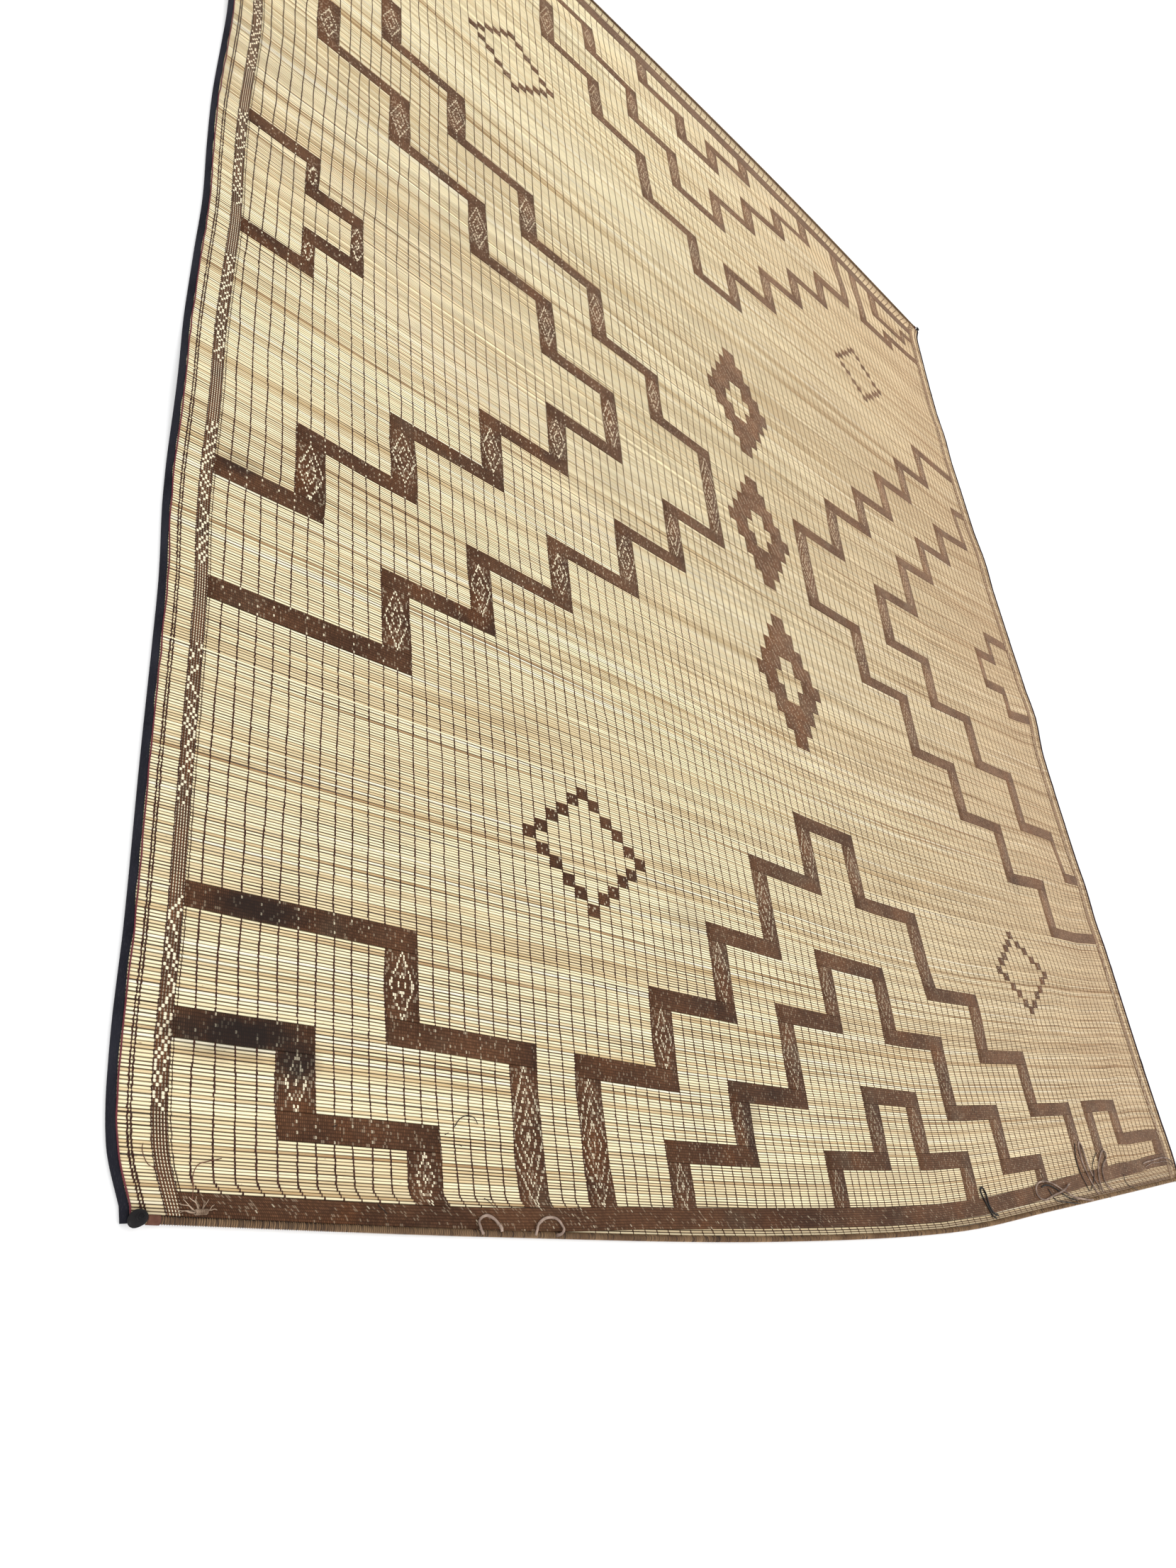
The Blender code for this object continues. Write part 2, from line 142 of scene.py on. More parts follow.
# Leather ties left on the bottom end: name and (x, y) in mm along the tie, from the lower left
# corner of the straight lines. A third number is how far it stands over the mat below it.
TIES = {
    "tie_small_loop_1": (
        (375, -30), (372, -25), (372, -19), (376, -14), (383, -12),
        (390, -14), (396, -18), (399, -23), (400, -29)),
    "tie_small_loop_2": (
        (447, -35), (451, -28), (457, -23), (465, -19), (474, -18),
        (483, -20), (489, -25), (490, -31), (485, -36), (477, -37)),
    "tie_dark_loop": (
        (1524, -69), (1518, -63), (1511, -53), (1503, -41), (1496, -30),
        (1494, -22), (1499, -17), (1506, -19), (1511, -27), (1512, -37),
        (1514, -47), (1520, -56), (1529, -62), (1539, -64)),
    "tie_knot_ring": (
        (1960, -54), (1938, -53), (1912, -51), (1886, -47), (1862, -40),
        (1838, -32), (1813, -23), (1787, -16), (1760, -13), (1735, -15),
        (1719, -23), (1716, -34), (1727, -43), (1746, -46), (1768, -43),
        (1789, -39, 1.2), (1808, -36, 3.0), (1826, -33, 4.2), (1842, -29, 3.9), (1858, -24, 1.9),
        (1874, -21)),
    "tie_long_loop": (
        (2003, -44), (1995, -33), (1985, -19), (1976, -4), (1969, 14),
        (1966, 33), (1969, 50), (1977, 59), (1985, 53), (1988, 37),
        (1990, 18), (1996, 1), (2005, -13), (2014, -25), (2020, -37)),
    "tie_curl": (
        (2032, -42), (2030, -28), (2031, -13), (2038, 2), (2050, 15),
        (2065, 27), (2080, 37), (2093, 42), (2102, 38), (2102, 29),
        (2092, 22), (2079, 16), (2066, 8), (2058, -3), (2056, -16),
        (2063, -27), (2075, -34), (2088, -38)),
    "tie_corner_end": (
        (2498, 8), (2488, 15), (2472, 20), (2451, 22), (2427, 22),
        (2402, 20), (2376, 18), (2350, 16), (2326, 14), (2306, 11)),
}
# Finer strands that lie loose on the mat: name and half width, then the same numbers, in mm.
LOOSE_STRANDS = {
    "dark_strand_in_knot": (
        1.2, (1884, -53), (1859, -47), (1835, -39), (1811, -29.5), (1787, -22.5),
        (1765, -20), (1744, -23)),
    "dark_strand_by_knot": (
        0.9, (1772, -27), (1790, -46), (1815, -52), (1842, -55), (1868, -57), (1893, -59)),
    "dark_strand_by_loop": (
        0.9, (1956, 56), (1946, 39), (1941, 20), (1943, 5), (1948, -10), (1958, -24),
        (1964, -38)),
    "dark_strand_over_loop": (
        0.8, (1974, -35), (1987, -27, 0.4), (1997, -17, 1.7), (2003, -6, 3.3), (2009, 4, 1.9),
        (2018, 14, 0.3), (2035, 26), (2056, 37)),
    "dark_thread_by_curl": (
        0.6, (2175, -9), (2172, -18), (2176, -28), (2191, -36), (2207, -41), (2223, -44)),
    "strand_by_corner": (
        0.9, (2316, 4), (2347, 9), (2372, 12), (2400, 12), (2428, 14), (2456, 14),
        (2480, 8), (2500, 0)),
    "thread_by_cap": (0.4, (13, 62), (13, 56), (18, 46), (26, 41), (34, 33)),
    "thread_by_lashing": (
        0.4, (85, 49), (74, 47), (65, 45), (61, 41), (59, 34), (60, 25), (60, 15)),
    "dark_thread_on_reeds": (0.5, (346, 78), (353, 86), (363, 90), (373, 88), (378, 81)),
}
TIE_STEPS = 5                # steps between two points of a tie
TIE_TWIST = 0.5              # radians
TIE_FLATNESS = 0.86          # how thick a tie is for its width
TIE_UNEVEN = 0.05            # how much its thickness wanders
TIE_SINK = 0.0004            # the finer reeds lie a little below the frame's flat top
THREAD_END_RADIUS = 0.0005
# Thread ends too short to hang loose, in the same way.
THREAD_ENDS = (
    ((1760, 3), (1762, -4), (1768, -9)),
    ((1703, -20), (1708, -30), (1706, -40)),
    ((1711, -60), (1714, -69)),
    ((2040, -47), (2059, -55)),
    ((249, 4), (254, 0), (260, -5)),
    ((382, 5), (388, 2), (395, -4)),
    ((333, 70), (338, 72)),
    ((351, 60), (355, 58)),
    ((198, 77), (203, 79)),
)
# The frayed lashing at the bottom left: its bar, then (root along the bar, tip x, tip y) in mm.
LASHING_BAR = (68.0, 5.0, 11.0, 4.2, 2.6)       # middle x, middle y, length, width, height
LASHING_TURNS = 7            # turns round the bar
LASHING_TURN = 0.0009        # half width of a turn, and how far it slants each way
LASHING_STRAND = 0.0006      # half width of a loose strand
LASHING_ROOT = 0.45          # where the loose strands leave the bar, as a share of its height
LASHING_TIP = 0.0004         # how high their tips lie over the mat
STRAND_TAPER = 0.45          # how much thinner a strand is at its end
STRAND_FALL = 0.7            # share of its length over which it comes down to the mat
STRAND_BOW = 0.0012          # how far it bows to one side, and the next one to the other
STRAND_WAVE = 0.0005
STRANDS = (
    (-4.6, 45, 5),
    (-3.8, 46, 9),
    (-2.9, 48, 13),
    (-1.9, 52, 16),
    (-0.9, 57, 18),
    (0.1, 63, 18),
    (1.2, 69, 17),
    (2.3, 75, 15),
    (3.4, 80, 11),
    (4.4, 83, 6),
)

# The reeds.
REEDS = 830                  # from the bottom end to the top end
REED_STEPS = 23              # straight steps that follow a reed's bend
REED_CLOSING = 0.035         # how much closer together they lie halfway than at the ends
REED_SIDES = 5               # with a ridge on top
REED_STRAY = 0.00014         # how far a reed strays from its even place
REED_WIDTH = 0.0037
REED_HEIGHT = 0.0026
REED_MIDDLE = 0.0022         # a reed's middle line over the mat's underside
REED_INSET = 0.0030          # where the reeds end inside the folded cloth
REED_TUCK = 0.0006           # how far the first and last reed sink into the whipping
WORN_REEDS = 16              # reeds at each end that are darker
# How far the reeds bend up or down between the ends: (share up, then mm at BEND_SHARES across).
BEND_SHARES = (0, 0.1, 0.3, 0.5, 0.7, 0.9, 1)
REED_BEND = (
    (0.00, 0, 0, 0, 0, 0, 0, 0),
    (0.03, -8, -5, -3, 0, -1, -1, -5),
    (0.09, 4, 7, 5, 0, -10, -10, -8),
    (0.15, 3, 10, 16, 0, -14, -7, 0),
    (0.21, 4, 11, 21, 0, -16, -9, -3),
    (0.27, 21, 26, 21, 0, -10, -5, 3),
    (0.36, 30, 25, 14, 0, -8, 5, 15),
    (0.45, 41, 36, 20, 0, -14, 12, 35),
    (0.54, 50, 48, 32, 0, -8, 26, 45),
    (0.65, 44, 47, 24, 0, -1, 20, 48),
    (0.75, 35, 36, 18, 0, 1, 15, 22),
    (0.82, 28, 32, 26, 0, 12, 34, 60),
    (0.91, 15, 18, 10, 0, 8, 45, 68),
    (0.96, 6, 8, 0, 0, 3, 20, 37),
    (1.00, 0, 0, 0, 0, 0, 0, 0),
)

# The thongs. Where some of them run: (y, then x of the thongs in THONGS_READ) in mm.
THONGS = 110
THONGS_READ = (1, 13, 28, 45, 56, 66, 84, 98, 110)
THONG_LINES = (
    (0, 60, 308, 622, 978, 1196, 1420, 1830, 2150, 2430),
    (105, 54, 304, 617, 974, 1193, 1415, 1827, 2147, 2440),
    (262, 50, 304, 622, 973, 1193, 1411, 1823, 2142, 2430),
    (390, 50, 304, 626, 972, 1192, 1408, 1820, 2137, 2424),
    (570, 52, 306, 623, 967, 1188, 1400, 1802, 2131, 2414),
    (970, 50, 301, 612, 963, 1183, 1390, 1793, 2128, 2402),
    (1330, 56, 297, 621, 965, 1184, 1393, 1814, 2129, 2418),
    (1690, 68, 308, 619, 977, 1199, 1415, 1822, 2131, 2406),
    (2050, 66, 319, 630, 988, 1201, 1413, 1816, 2140, 2393),
    (2410, 62, 312, 639, 985, 1202, 1420, 1827, 2124, 2396),
    (2772, 60, 310, 645, 999, 1222, 1438, 1838, 2142, 2430),
)
END_SLANT = 0.022            # how far the thongs slant sideways in the strips beside the rolls
BORDER = {"left": (0.039, 0.053), "right": (0.040, 0.058)}     # side band, in from the mat's side
BORDER_COLUMNS = 5
BORDER_LINE = 0.0034         # a finer thong beside the side band, in from it
BORDER_LINE_WIDTH = 0.0013
TWIN_INSETS = (0.0182, 0.0213)     # the two thongs beside the edge cloth
THONG_KNOTS = 70             # turning points of a thong's wandering
THONG_WANDER = 0.0006
STITCH_WIDTH = 0.0026
STITCH_RISE = 0.00070        # a thong's crest over the reed
STITCH_LEAN = 9              # degrees
STITCH_LEAN_STRAY = 3
STITCH_STRAY = 0.00022       # how far a stitch strays sideways
STITCH_GROWTH = 0.35         # how much wider the thongs are at the right side than at the left
TWIN_LEAN = 12               # degrees, to one side and the other in turn
# A stitch over one reed, about one unit each way: a closed sliver with a ridge along it.
STITCH_POINTS = ((0, -0.82, 1.0), (0, 0.82, 0.55), (-0.5, 0, -0.6), (0.5, 0, -0.6))
STITCH_FACES = ((0, 1, 2), (0, 3, 1), (0, 2, 3), (1, 3, 2))

# The leather bands.
LEATHER = 0.0006             # thickness
LEATHER_RISE = 0.00060       # top of the leather over a reed's crest
LEATHER_DIP = 0.0006         # how far it sinks between two reeds
STRIPS = 10                  # fine strips of leather between two thongs
BAND_REEDS = 8               # a crossbar's reeds
BAND_THONGS = 2              # an upright's width, in spaces between thongs
LAST_WIDE_THONG = 108        # uprights that reach past it are one space wide

# Measured levels of the end bands: (thong, reed where the bottom band starts, and the top one).
END_BANDS = (
    (0, -1, 812),
    (13, -1, 812),
    (20, 0, 811),
    (28, 2, 811),
    (43, 3, 810),
    (59, 3, 807),
    (75, 4, 805),
    (91, 7, 803),
    (99, 8, 800),
    (107, 10, 797),
    (111, 10, 797),
)
END_BAND_REEDS = (8, 11)     # height of the bottom band and of the top band

# Stepped bands: thong, reed, thong, reed ... An upright stands on each thong and a crossbar
# lies on each reed. 0 and 111 are the side bands, and the word says where other ends stand.
STEPPED_BANDS = {
    "left_outer_arm": (
        None, (0, 240, 5, 274, 12, 309, 20, 343, 27, 376, 34, 416, 27, 451, 20, 490, 12, 525,
               5, 557, 0)),
    "left_inner_arm": (
        None, (0, 192, 11, 225, 18, 259, 26, 291, 34, 327, 41, 363, 48, 426, 41, 458, 34, 496,
               26, 533, 18, 570, 11, 604, 0)),
    "right_inner_arm": (
        None, (111, 173, 99, 208, 92, 244, 85, 280, 78, 321, 71, 361, 64, 421, 71, 462, 78, 496,
               85, 533, 92, 571, 99, 609, 111)),
    "right_outer_arm": (
        None, (111, 220, 107, 253, 99, 293, 92, 330, 85, 367, 78, 410, 85, 453, 92, 488, 99, 521,
               107, 562, 111)),
    "bottom_outer_steps": (
        BOTTOM, (24, 53, 31, 84, 38, 118, 45, 160, 53, 196, 60, 160, 68, 116, 75, 83, 82, 51, 89)),
    "bottom_inner_steps": (
        BOTTOM, (31, 27, 38, 52, 45, 89, 52, 121, 60, 88, 67, 51, 74, 21, 80)),
    "bottom_middle_steps": (BOTTOM, (48, 27, 55, 57, 61, 27, 67)),
    "top_outer_steps": (
        TOP, (24, 758, 31, 719, 38, 681, 45, 640, 53, 604, 60, 638, 68, 673, 75, 705, 82, 735, 89)),
    "top_inner_steps": (
        TOP, (31, 784, 38, 753, 45, 722, 52, 686, 60, 718, 67, 748, 74, 775, 81)),
    "top_middle_steps": (TOP, (48, 783, 55, 757, 61, 782, 68)),
    "bottom_left_corner_1": (BOTTOM, (0, 84, 11, 54, 19)),
    "bottom_left_corner_2": (BOTTOM, (0, 48, 5, 24, 12)),
    "bottom_right_corner": (BOTTOM, (94, 51, 100, 28, 111)),
    "top_right_corner_1": (TOP, (94, 733, 101, 745, 111)),
    "top_right_corner_2": (TOP, (99, 763, 107, 779, 111)),
    "top_left_corner_1": (TOP, (0, 744, 11, 774, 19)),
    "top_left_corner_2": (TOP, (0, 779, 5, 791, 12)),
}
CORNER_BLOCK = (109, 111, 18, 28)     # a short upright between two crossbars: thongs, then reeds
# Narrow bands, one space wide, off the side bands.
SIDE_STEPS = {
    "left_side_steps": (0, 364, 5, 383, 9, 411, 5, 431, 0),
    "right_side_steps": (111, 355, 105, 376, 101, 404, 105, 425, 111),
}
# The three stepped diamonds up the middle: (lowest reed, reeds in a step).
DIAMOND_THONG = 57
DIAMOND_STEPS = (1, 2, 3, 4, 5, 4, 3, 2, 1)      # half widths, in spaces between thongs
DIAMONDS = ((248, 9.7), (355, 9.2), (457, 10.1))
# Small diamonds of single checks: (thong, reed) of their middles.
SMALL_DIAMONDS = ((26.5, 142), (88.5, 143), (26.5, 660), (88.5, 652))
SMALL_DIAMOND_REACH = 5      # checks from the middle to a point
CHECK_REEDS = 5

# Soot and dark wear: (x, y, reach along x, reach along y, how dark) in mm.
STAINS = (
    (112, 288, 58, 20, 0.85),
    (96, 158, 84, 26, 1.0),
    (158, 140, 32, 26, 0.9),
    (62, 836, 34, 18, 0.7),
    (790, 375, 60, 40, 0.35),
    (800, 250, 52, 15, 0.45),
    (866, 96, 26, 60, 0.55),
    (920, 128, 56, 14, 0.45),
    (2025, 640, 34, 26, 0.5),
    (2285, 2620, 26, 14, 0.6),
)

# The camera, from the lower left corner of the straight lines.
CAMERA_SPOT = (-0.3603, -0.0587, 0.9349)
CAMERA_HEADING = 57.79       # degrees clockwise from +Y
CAMERA_DIP = 39.17
CAMERA_ROLL = 62.49
CAMERA_LENS = 23.64

# The key light shines from KEY_SPOT towards the mat's middle, spread over some degrees.
KEY_SPOT = (-1.4, -1.6, 3.0)
KEY_SPREAD = 18
KEY_STRENGTH = 1.1
SKY_STRENGTH = 1.05


def smooth(rows, at, column):
    """Reads a column of a table at shares, on a smooth curve through its rows."""
    keys = np.array([row[0] for row in rows], float)
    values = np.array([row[column] for row in rows], float)
    last = len(keys) - 1
    before = np.maximum(np.arange(last + 1) - 1, 0)
    after = np.minimum(np.arange(last + 1) + 1, last)
    slopes = (values[after] - values[before]) / (keys[after] - keys[before])
    at = np.clip(at, keys[0], keys[-1])
    k = np.clip(np.searchsorted(keys, at) - 1, 0, last - 1)
    span = keys[k + 1] - keys[k]
    t = (at - keys[k]) / span
    return (values[k] * (1 + 2 * t) * (1 - t) ** 2 + values[k + 1] * t * t * (3 - 2 * t)
            + slopes[k] * span * t * (1 - t) ** 2 - slopes[k + 1] * span * t * t * (1 - t))


def outline(across, up, inset_side=0.0, inset_end=0.0):
    """The place of a share across and up, from the lower left corner of the straight lines."""
    left = -smooth(SIDE_WAVE, up, 1) * MM + inset_side
    right = WIDTH + smooth(SIDE_WAVE, up, 2) * MM - inset_side
    bottom = -smooth(END_BOW, across, 1) * MM + inset_end
    top = LENGTH + smooth(END_BOW, across, 2) * MM - inset_end
    x = across * WIDTH + left * (1 - across) ** 3 + (right - WIDTH) * across ** 3
    y = bottom + up * (top - bottom)
    return x, y


def column_share(i, columns):
    """Share across of a column, closer together towards the sides."""
    s = i / columns
    return s - EDGE_CROWDING * np.sin(2 * math.pi * s) / (2 * math.pi)


def middle():
    """The middle of the footprint, which is the origin."""
    rows = np.arange(FRAME_ROWS + 1) / FRAME_ROWS
    columns = column_share(np.arange(FRAME_COLUMNS + 1), FRAME_COLUMNS)
    left, right = outline(0, rows)[0].min(), outline(1, rows)[0].max()
    bottom, top = outline(columns, 0)[1].min(), outline(columns, 1)[1].max()
    return (left + right) / 2, (bottom + top) / 2


MIDDLE_X, MIDDLE_Y = middle()
ORIGIN = np.array([MIDDLE_X, MIDDLE_Y, 0])


def bell(t):
    return np.maximum(1 - t * t, 0) ** 2


def lift(x, y, up):
    """How far the mat's underside stands off the floor."""
    left = outline(0, up)[0]
    right = outline(1, up)[0]
    x = np.clip(x, left + SIDE_FLAT, right - SIDE_FLAT)
    total = 0.0
    for across, along, half_length, half_width, turn, height in RIDGES:
        dx, dy = x - across * WIDTH, y - along * LENGTH
        c, s = math.cos(math.radians(turn)), math.sin(math.radians(turn))
        a = (dx * c + dy * s) / (half_length * MM)
        b = (dy * c - dx * s) / (half_width * MM)
        total = total + height * MM * bell(a) * bell(b)
    return total


def ramp(value, low, high):
    """0 below low and 1 above high, smooth between."""
    t = np.clip((value - low) / (high - low), 0, 1)
    return t * t * (3 - 2 * t)


def side_lift(x, up):
    """The edge cloth passes under the reeds, so the sides stand a little off the floor."""
    side = np.minimum(x - outline(0, up)[0], outline(1, up)[0] - x)
    return (CLOTH + GAP) * (1 - ramp(side, SIDE_FLAT, SIDE_RAMP))


def wander(length, knots, size, dice):
    """Smooth random wandering over a number of rows."""
    values = dice.normal(0, size, knots)
    rows = list(zip(np.linspace(0, 1, knots), values))
    return smooth(rows, np.linspace(0, 1, length), 1)


def ripple(x, y):
    """How far the reeds wave to and fro, most near the right side, in mm."""
    wave = (np.sin(21 * x + 2.0 * np.sin(5.3 * y)) + 0.7 * np.sin(29 * x + 9 * y + 1.0)
            + 0.7 * np.sin(13 * x - 11 * y))
    return wave * (0.35 + 0.95 * ramp(x, 0.66 * WIDTH, 0.9 * WIDTH))


def reed_lines():
    """The lines between the reeds: a row for each line, with a point at each step along it."""
    shares = column_share(np.arange(REED_STEPS + 1), REED_STEPS)
    number = np.arange(REEDS + 1) / REEDS
    up = number + REED_CLOSING * number * (number - 1)
    columns = [smooth(REED_BEND, up, k + 1) for k in range(len(BEND_SHARES))]
    bends = [smooth(list(zip(BEND_SHARES, row)), shares, 1) for row in zip(*columns)]
    across = np.broadcast_to(shares, (REEDS + 1, REED_STEPS + 1))
    up = np.repeat(up[:, None], REED_STEPS + 1, axis=1)
    span = outline(across, 1.0, 0, ROLL + GAP)[1] - outline(across, 0.0, 0, ROLL + GAP)[1]
    fade = ramp(up, 0, 0.03) * ramp(-up, -1, -0.97)
    up = up + (np.array(bends) + fade * ripple(across * WIDTH, up * LENGTH)) * MM / span
    x, y = outline(across, up, REED_INSET, ROLL - REED_TUCK)
    z = lift(x, y, up) + side_lift(x, up)
    return np.stack([x, y, z + REED_MIDDLE], axis=-1)


LINES = reed_lines()


def along_line(number, x):
    """Points at x on whole-numbered lines between the reeds."""
    rows = LINES[number]
    step = np.clip((rows[..., 0] <= x[..., None]).sum(-1) - 1, 0, REED_STEPS - 1)
    a = np.take_along_axis(rows, step[..., None, None], axis=-2)[..., 0, :]
    b = np.take_along_axis(rows, step[..., None, None] + 1, axis=-2)[..., 0, :]
    t = ((x - a[..., 0]) / (b[..., 0] - a[..., 0]))[..., None]
    return a + (b - a) * t


def on_reeds(x, number):
    """Points at x on lines that may lie between two whole numbers: a reed's middle is at a half."""
    low = np.clip(np.floor(number).astype(int), 0, REEDS - 1)
    share = (number - low)[..., None]
    return along_line(low, x) * (1 - share) + along_line(low + 1, x) * share


def side_x(side, inset):
    """X of a line that keeps an inset from one side, where it crosses the lines between reeds."""
    if side == "left":
        return LINES[:, 0, 0] - REED_INSET + inset
    return LINES[:, -1, 0] + REED_INSET - inset


def thong_lines():
    """X of each thong where it crosses the lines between the reeds."""
    number = np.arange(REEDS + 1)
    dice = np.random.default_rng(2)
    slant = END_SLANT * (ramp(number, REEDS - 24, REEDS) + ramp(-number, -12, 0))
    lines = [side_x("left", BORDER["left"][1])]
    for thong in range(1, THONGS + 1):
        rows = [(row[0], float(smooth(list(zip(THONGS_READ, row[1:])), thong, 1)))
                for row in THONG_LINES]
        x = np.full(REEDS + 1, rows[0][1] * MM)
        for _ in range(3):
            x = smooth(rows, along_line(number, x)[:, 1] / MM, 1) * MM
        lines.append(x + slant * (1 + thong / THONGS) + wander(REEDS + 1, THONG_KNOTS, THONG_WANDER, dice))
    lines.append(side_x("right", BORDER["right"][1]))
    return np.array(lines)


THONG_X = thong_lines()


def thong_x(thong, number):
    """X of thongs, which may lie between two, on lines that may lie between two."""
    t = np.clip(np.floor(thong).astype(int), 0, THONGS)
    n = np.clip(np.floor(number).astype(int), 0, REEDS - 1)
    a, b = thong - t, number - n
    return ((THONG_X[t, n] * (1 - a) + THONG_X[t + 1, n] * a) * (1 - b)
            + (THONG_X[t, n + 1] * (1 - a) + THONG_X[t + 1, n + 1] * a) * b)


class Wire:
    """A socket of a node tree that can stand in a Python expression."""

    def __init__(self, graph, socket):
        self.graph = graph
        self.socket = socket

    def __add__(self, other):
        return self.graph.math("ADD", self, other)

    def __sub__(self, other):
        return self.graph.math("SUBTRACT", self, other)

    def __rsub__(self, other):
        return self.graph.math("SUBTRACT", other, self)

    def __mul__(self, other):
        return self.graph.math("MULTIPLY", self, other)

    def __mod__(self, other):
        return self.graph.math("FLOORED_MODULO", self, other)

    def __lt__(self, other):
        return self.graph.math("LESS_THAN", self, other)

    def __gt__(self, other):
        return self.graph.math("GREATER_THAN", self, other)

    def __abs__(self):
        return self.graph.math("ABSOLUTE", self)

    __radd__ = __add__
    __rmul__ = __mul__


class Graph:
    """A node tree that is built from Python."""

    def __init__(self, tree):
        self.tree = tree

    def put(self, socket, value):
        if isinstance(value, Wire):
            self.tree.links.new(value.socket, socket)
        else:
            socket.default_value = value

    def add(self, kind, settings=None, values=None, out=0):
        """Adds a node: first its settings, then the values or links of its sockets."""
        node = self.tree.nodes.new(kind)
        for name, value in (settings or {}).items():
            setattr(node, name, value)
        for key, value in (values or {}).items():
            self.put(node.inputs[key], value)
        return Wire(self, node.outputs[out])

    def named(self, name, kind="FLOAT"):
        """A named value of a mesh's points."""
        return self.add("GeometryNodeInputNamedAttribute", {"data_type": kind}, {"Name": name})

    def level_line(self, mesh):
        """A mesh's edges as a curve whose sections stay upright."""
        line = self.add("GeometryNodeMeshToCurve", None, {"Mesh": mesh})
        return self.add("GeometryNodeSetCurveNormal", {"mode": "Z_UP"}, {"Curve": line})

    def circle(self, sides, radius):
        return self.add("GeometryNodeCurvePrimitiveCircle", {"mode": "RADIUS"},
                        {"Resolution": sides, "Radius": radius})


class Finish(Graph):
    """A material, its shader and the nodes that feed it."""

    def __init__(self, name, roughness=0.6, specular=0.3):
        self.material = bpy.data.materials.new(name)
        self.material.use_nodes = True
        super().__init__(self.material.node_tree)
        self.shader = self.tree.nodes["Principled BSDF"]
        self.shader.inputs["Roughness"].default_value = roughness
        self.shader.inputs["Specular IOR Level"].default_value = specular

    def math(self, operation, a, b=0.0, clamp=False):
        return self.add("ShaderNodeMath", {"operation": operation, "use_clamp": clamp}, {0: a, 1: b})

    def colour(self, value):
        return value if isinstance(value, Wire) else (*value, 1)

    def mix(self, share, a, b):
        return self.add("ShaderNodeMix", {"data_type": "RGBA"},
                        {0: share, 6: self.colour(a), 7: self.colour(b)}, out=2)

    def place(self):
        """Object coordinates, split."""
        return self.split(self.add("ShaderNodeTexCoord", out="Object"))

    def split(self, vector):
        node = self.add("ShaderNodeSeparateXYZ", None, {0: vector}).socket.node
        return [Wire(self, socket) for socket in node.outputs]

    def scaled(self, colour, share):
        """A colour made lighter or darker."""
        return self.add("ShaderNodeVectorMath", {"operation": "SCALE"}, {0: colour, "Scale": share})

    def chart(self):
        """The piece's own UV map, split."""
        return self.split(self.add("ShaderNodeTexCoord", out="UV"))[:2]

    def attribute(self, name):
        return self.add("ShaderNodeAttribute", {"attribute_name": name}, out="Fac")

    def vector(self, x, y, z=0.0):
        return self.add("ShaderNodeCombineXYZ", None, {0: x, 1: y, 2: z})

    def noise(self, vector, scale=1.0, detail=2.0, roughness=0.5):
        return self.add("ShaderNodeTexNoise", None, {
            "Vector": vector, "Scale": scale, "Detail": detail, "Roughness": roughness})

    def between(self, value, low, high):
        """0 at low and 1 at high, kept in that range."""
        return self.math("MULTIPLY", value - low, 1 / (high - low), clamp=True)

    def floor(self, value):
        return self.math("FLOOR", value)

    def finish(self, colour, roughness=None, height=None, distance=0.001):
        """Feeds the shader's colour, roughness and bump."""
        self.put(self.shader.inputs["Base Color"], colour)
        if roughness is not None:
            self.put(self.shader.inputs["Roughness"], roughness)
        if height is not None:
            bump = self.add("ShaderNodeBump", None, {
                "Height": height, "Distance": distance, "Strength": 1.0})
            self.put(self.shader.inputs["Normal"], bump)
        return self.material


def stains(f, x, y):
    """How dark the wear is: strongest in the middle of a stained place, with a ragged edge."""
    edge = f.noise(f.vector(x, y), scale=45, detail=4)
    total = None
    for spot_x, spot_y, reach_x, reach_y, dark in STAINS:
        dx = (x + MIDDLE_X - spot_x * MM) * (1 / (reach_x * MM))
        dy = (y + MIDDLE_Y - spot_y * MM) * (1 / (reach_y * MM))
        part = f.between(1.55 - (dx * dx + dy * dy) - edge, 0.0, 0.9) * dark
        total = part if total is None else f.math("MAXIMUM", total, part)
    return total


